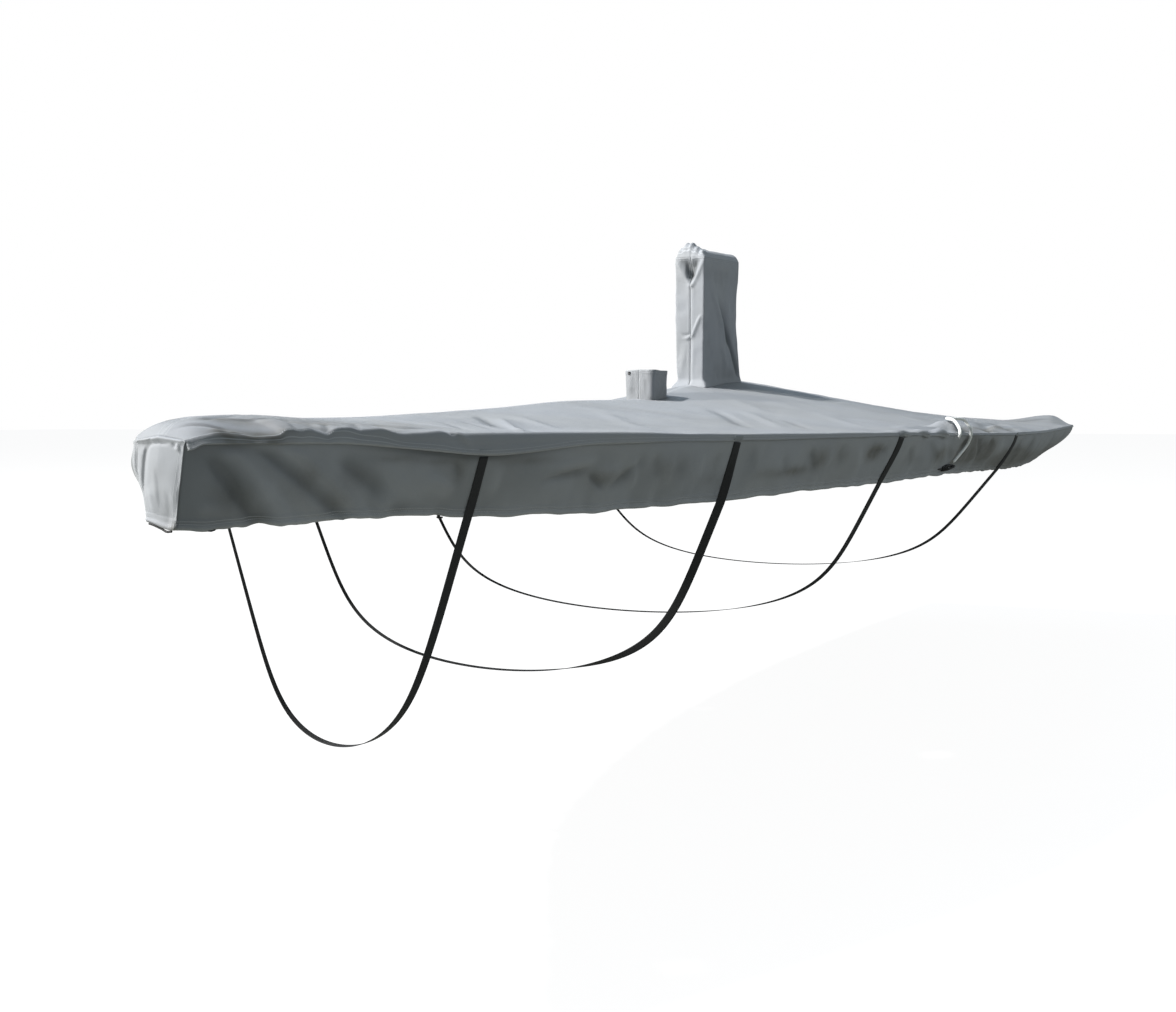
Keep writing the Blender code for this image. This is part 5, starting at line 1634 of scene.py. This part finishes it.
# %% The tie
TIE_DIAMETER = 0.009
TIE_FULLNESS = 0.0012
TIE_ROUTE = (
    (3.250, 1.0375, -0.1228), (3.270, 1.0450, -0.1090), (3.300, 1.0550, -0.0900), (3.343, 1.0680, -0.0628),
    (3.350, 1.0790, -0.0396), (3.340, 1.0865, -0.0125), (3.333, 1.0840, 0.0068), (3.333, 1.0720, 0.0240),
    (3.313, 1.0620, 0.0385), (3.285, 1.0470, 0.0430), (3.260, 1.0270, 0.0440), (3.233, 1.0175, 0.0440),
    (3.206, 1.0210, 0.0435), (3.190, 1.0360, 0.0415), (3.184, 1.0510, 0.0360), (3.176, 1.0670, 0.0190),
    (3.166, 1.0775, 0.0004), (3.162, 1.0785, -0.0164), (3.164, 1.0730, -0.0328),
)
route_rows = np.array(TIE_ROUTE)
tie_route = smooth_route(in_frame(route_rows[:, 0], route_rows[:, 1], route_rows[:, 2], -1), 0.0013)


def thin_tail(travelled):
    """The free end has opened out, and its last strands come to a point."""
    from_end = travelled[-1] - travelled
    return (1.0 + 0.06 * hill(from_end - 0.055, 0.055)) * (0.72 + 0.28 * soft_step(from_end, 0.0, 0.03))


tie = cord_mesh("tie_white", tie_route, TIE_DIAMETER / 2.0 + TIE_FULLNESS, white_cord,
                sides=40, relief=0.0003, strands=8, lay=0.024, taper=thin_tail)
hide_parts("shroud_tie")

# %% Draw cord at the hem and the nose
HEM_CORD = 0.005


def port_hem_line(aft, length, stand, low, seed):
    """A short stretch of the hem's cord where it has slipped out below the edge."""
    place = np.linspace(aft - length / 2.0, aft + length / 2.0, 9)
    one = np.ones_like(place)
    out = skirt_out(place, one) + fold_lift(place, one, PORT_FOLDS) + stand
    sag = 0.0020 * np.sin(np.pi * np.linspace(0.0, 1.0, 9)) + 0.0004 * waves(place, place, 0.004, seed)
    return in_frame(place, out, skirt_height(place, one) - low - sag, -1)


def nose_line():
    """The cord across the lower edge of the nose, a little below it."""
    half = float(section("breadth", 0.0) - section("tuck", 0.0))
    low = float(section("gunwale", 0.0) - section("drop", 0.0)) - 0.0026
    share = np.linspace(0.0, 1.0, 33)
    across = 0.85 - 1.7 * share
    rise = NOSE_BEND["rise"] * soft_step(across, -0.9, 1.0)
    sag = 0.0008 * np.sin(np.pi * share) ** 2 + 0.0025 * hill(share - 0.75, 0.22)
    return np.stack([np.full_like(share, -0.0045 - LENGTH / 2.0), half * across, low + rise - sag], 1)


for label, line in (("bow", port_hem_line(0.065, 0.022, 0.0031, 0.0010, 81)),
                    ("fore", port_hem_line(0.605, 0.018, 0.0032, 0.0010, 82)), ("nose", nose_line())):
    piece = cord_mesh("draw_cord_" + label, smooth_route(line, 0.0012), HEM_CORD / 2.0, black_cord,
                      sides=16, relief=0.0002, strands=6, lay=0.014)
    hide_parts("hem_cord_" + label)
print("draw cord stretches: 3")

# %% [markdown]
# ## The press stud
# A small black stud holds the collar's overlap. A turned part like this is a profile spun round an
# axis: a flange, a raised cap and a shallow dimple.

# %% Stud
def stud_finish():
    """Black moulded plastic with fine scuffs."""
    material, shader = new_finish("stud_black")
    place = Wire.node("TexCoord", output=3)
    scuff = noise(place, 700.0, 4.0, 0.6)
    feed(shader, "Base Color", mixed(scuff, (0.010, 0.010, 0.011, 1.0), (0.030, 0.030, 0.032, 1.0)))
    feed(shader, "Roughness", (0.25 + scuff * 0.25).clamped())
    feed(shader, "Normal", bumped(scuff * 0.00006))
    return material


STUD_TURNS = 36
STUD_PROFILE = ((0.0, 0.0), (1.0, 0.0), (1.0, 0.12), (0.96, 0.24), (0.78, 0.34), (0.72, 0.70), (0.66, 0.90),
                (0.52, 1.0), (0.30, 0.94), (0.12, 0.88), (0.0, 0.86))


def make_stud():
    """The stud in its packed place, turned about the axis that runs along the hull; gives its radius."""
    low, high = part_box("collar_snap")
    middle = (low + high) / 2.0
    radius = (high.z - low.z) / 2.0
    depth = high.x - low.x
    angle = 2.0 * math.pi * np.arange(STUD_TURNS) / STUD_TURNS
    share, rise = (np.array(column)[:, None] for column in zip(*STUD_PROFILE))
    points = np.stack(np.broadcast_arrays(high.x - depth * rise, middle.y + radius * share * np.cos(angle),
                                          middle.z + radius * share * np.sin(angle)), -1)
    index = np.arange(len(STUD_PROFILE) * STUD_TURNS).reshape(-1, STUD_TURNS)
    after = np.roll(index, -1, 1)
    faces = np.stack([index[:-1], after[:-1], after[1:], index[1:]], -1).reshape(-1, 4)
    mesh = bpy.data.meshes.new("collar_stud")
    mesh.from_pydata(points.reshape(-1, 3).tolist(), [], faces.tolist())
    piece = new_piece("collar_stud", mesh, stud_finish())
    weld = piece.modifiers.new("joined_points", "WELD")
    weld.merge_threshold = 0.00002
    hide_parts("collar_snap")
    return radius


print("stud radius", round(make_stud() * 1000, 1), "mm")

# %% [markdown]
# ## Floor, sky and lights
# The studio is plain: a pale floor well under the cover and a pale surround. The key lamp stands high
# and far out, ahead of the bow to starboard, and is small, so the hood and the collar throw firm
# shadows. A low lamp ahead of the bow rakes over the top and lights the nose. The port side turns away
# from both: a wide cool panel above, a weak one on that side and the light that the floor gives back
# are enough to read its folds.

# %% Studio
FLOOR_HEIGHT = -1.30
FLOOR_HALF = 120.0
SKY_FILL = {"Color": (0.76, 0.89, 1.0, 1.0), "Strength": 0.31}
SUNNY = (1.0, 0.98, 0.955)
# name, place, what it points at, size, power in watts and colour
LAMPS = (
    ("key", (-13.7, 16.4, 25.4), (0.0, 0.0, 0.0), (1.6, 1.6), 15600.0, SUNNY),
    ("front", (-20.4, 13.8, 4.3), (0.0, 0.0, 0.0), (2.0, 2.0), 5700.0, SUNNY),
    ("above", (0.0, 2.6, 7.5), (0.0, 0.3, 0.0), (11.0, 4.0), 230.0, (0.62, 0.80, 1.0)),
    ("side", (7.0, -9.0, 3.0), (0.0, -1.0, 0.0), (4.0, 4.0), 150.0, (0.97, 1.0, 0.99)),
)


def stage_shader(tree, output, unseen, seen):
    """Replace a tree's nodes: one shader lights the piece, the other is what shows behind it."""
    Wire.tree = tree
    tree.nodes.clear()
    both = Wire.node("MixShader", None, {0: Wire.node("LightPath", output=0), 1: unseen(), 2: seen()})
    out = tree.nodes.new("ShaderNodeOutput" + output)
    tree.links.new(both.socket, out.inputs["Surface"])


def stage_world():
    """A white surround that lights the piece as a dim blue sky does."""
    world = bpy.data.worlds.new("studio")
    world.use_nodes = True
    bpy.context.scene.world = world
    stage_shader(world.node_tree, "World", lambda: Wire.node("Background", None, SKY_FILL),
                 lambda: Wire.node("Background", None, {"Color": grey(1.0), "Strength": 1.0}))


def shown_floor():
    """A pale floor that hardly darkens in the shade."""
    soft = Wire.node("BsdfDiffuse", None, {"Color": grey(0.12)})
    glow = Wire.node("Emission", None, {"Color": grey(1.0), "Strength": 0.93})
    return Wire.node("AddShader", None, {0: soft, 1: glow})


def stage_floor():
    """A wide plain floor that gives back little light."""
    corners = ((-1, -1), (1, -1), (1, 1), (-1, 1))
    mesh = bpy.data.meshes.new("floor")
    mesh.from_pydata([(x * FLOOR_HALF, y * FLOOR_HALF, FLOOR_HEIGHT) for x, y in corners], [], [(0, 1, 2, 3)])
    material = bpy.data.materials.new("floor_pale")
    material.use_nodes = True
    stage_shader(material.node_tree, "Material",
                 lambda: Wire.node("BsdfDiffuse", None, {"Color": (0.265, 0.270, 0.243, 1.0)}), shown_floor)
    mesh.materials.append(material)
    put_in_scene("floor", mesh)


def area_light(name, place, target, size, power, colour):
    """A flat lamp that faces its target."""
    data = bpy.data.lights.new(name, "AREA")
    data.shape = "RECTANGLE"
    data.size, data.size_y = size
    data.energy = power
    data.color = colour
    lamp = put_in_scene(name, data)
    lamp.location = place
    lamp.rotation_euler = (Vector(target) - Vector(place)).to_track_quat("-Z", "Y").to_euler()


stage_world()
stage_floor()
for lamp in LAMPS:
    area_light(*lamp)
bpy.context.scene.view_settings.view_transform = "Standard"
print("lamps:", len(LAMPS))
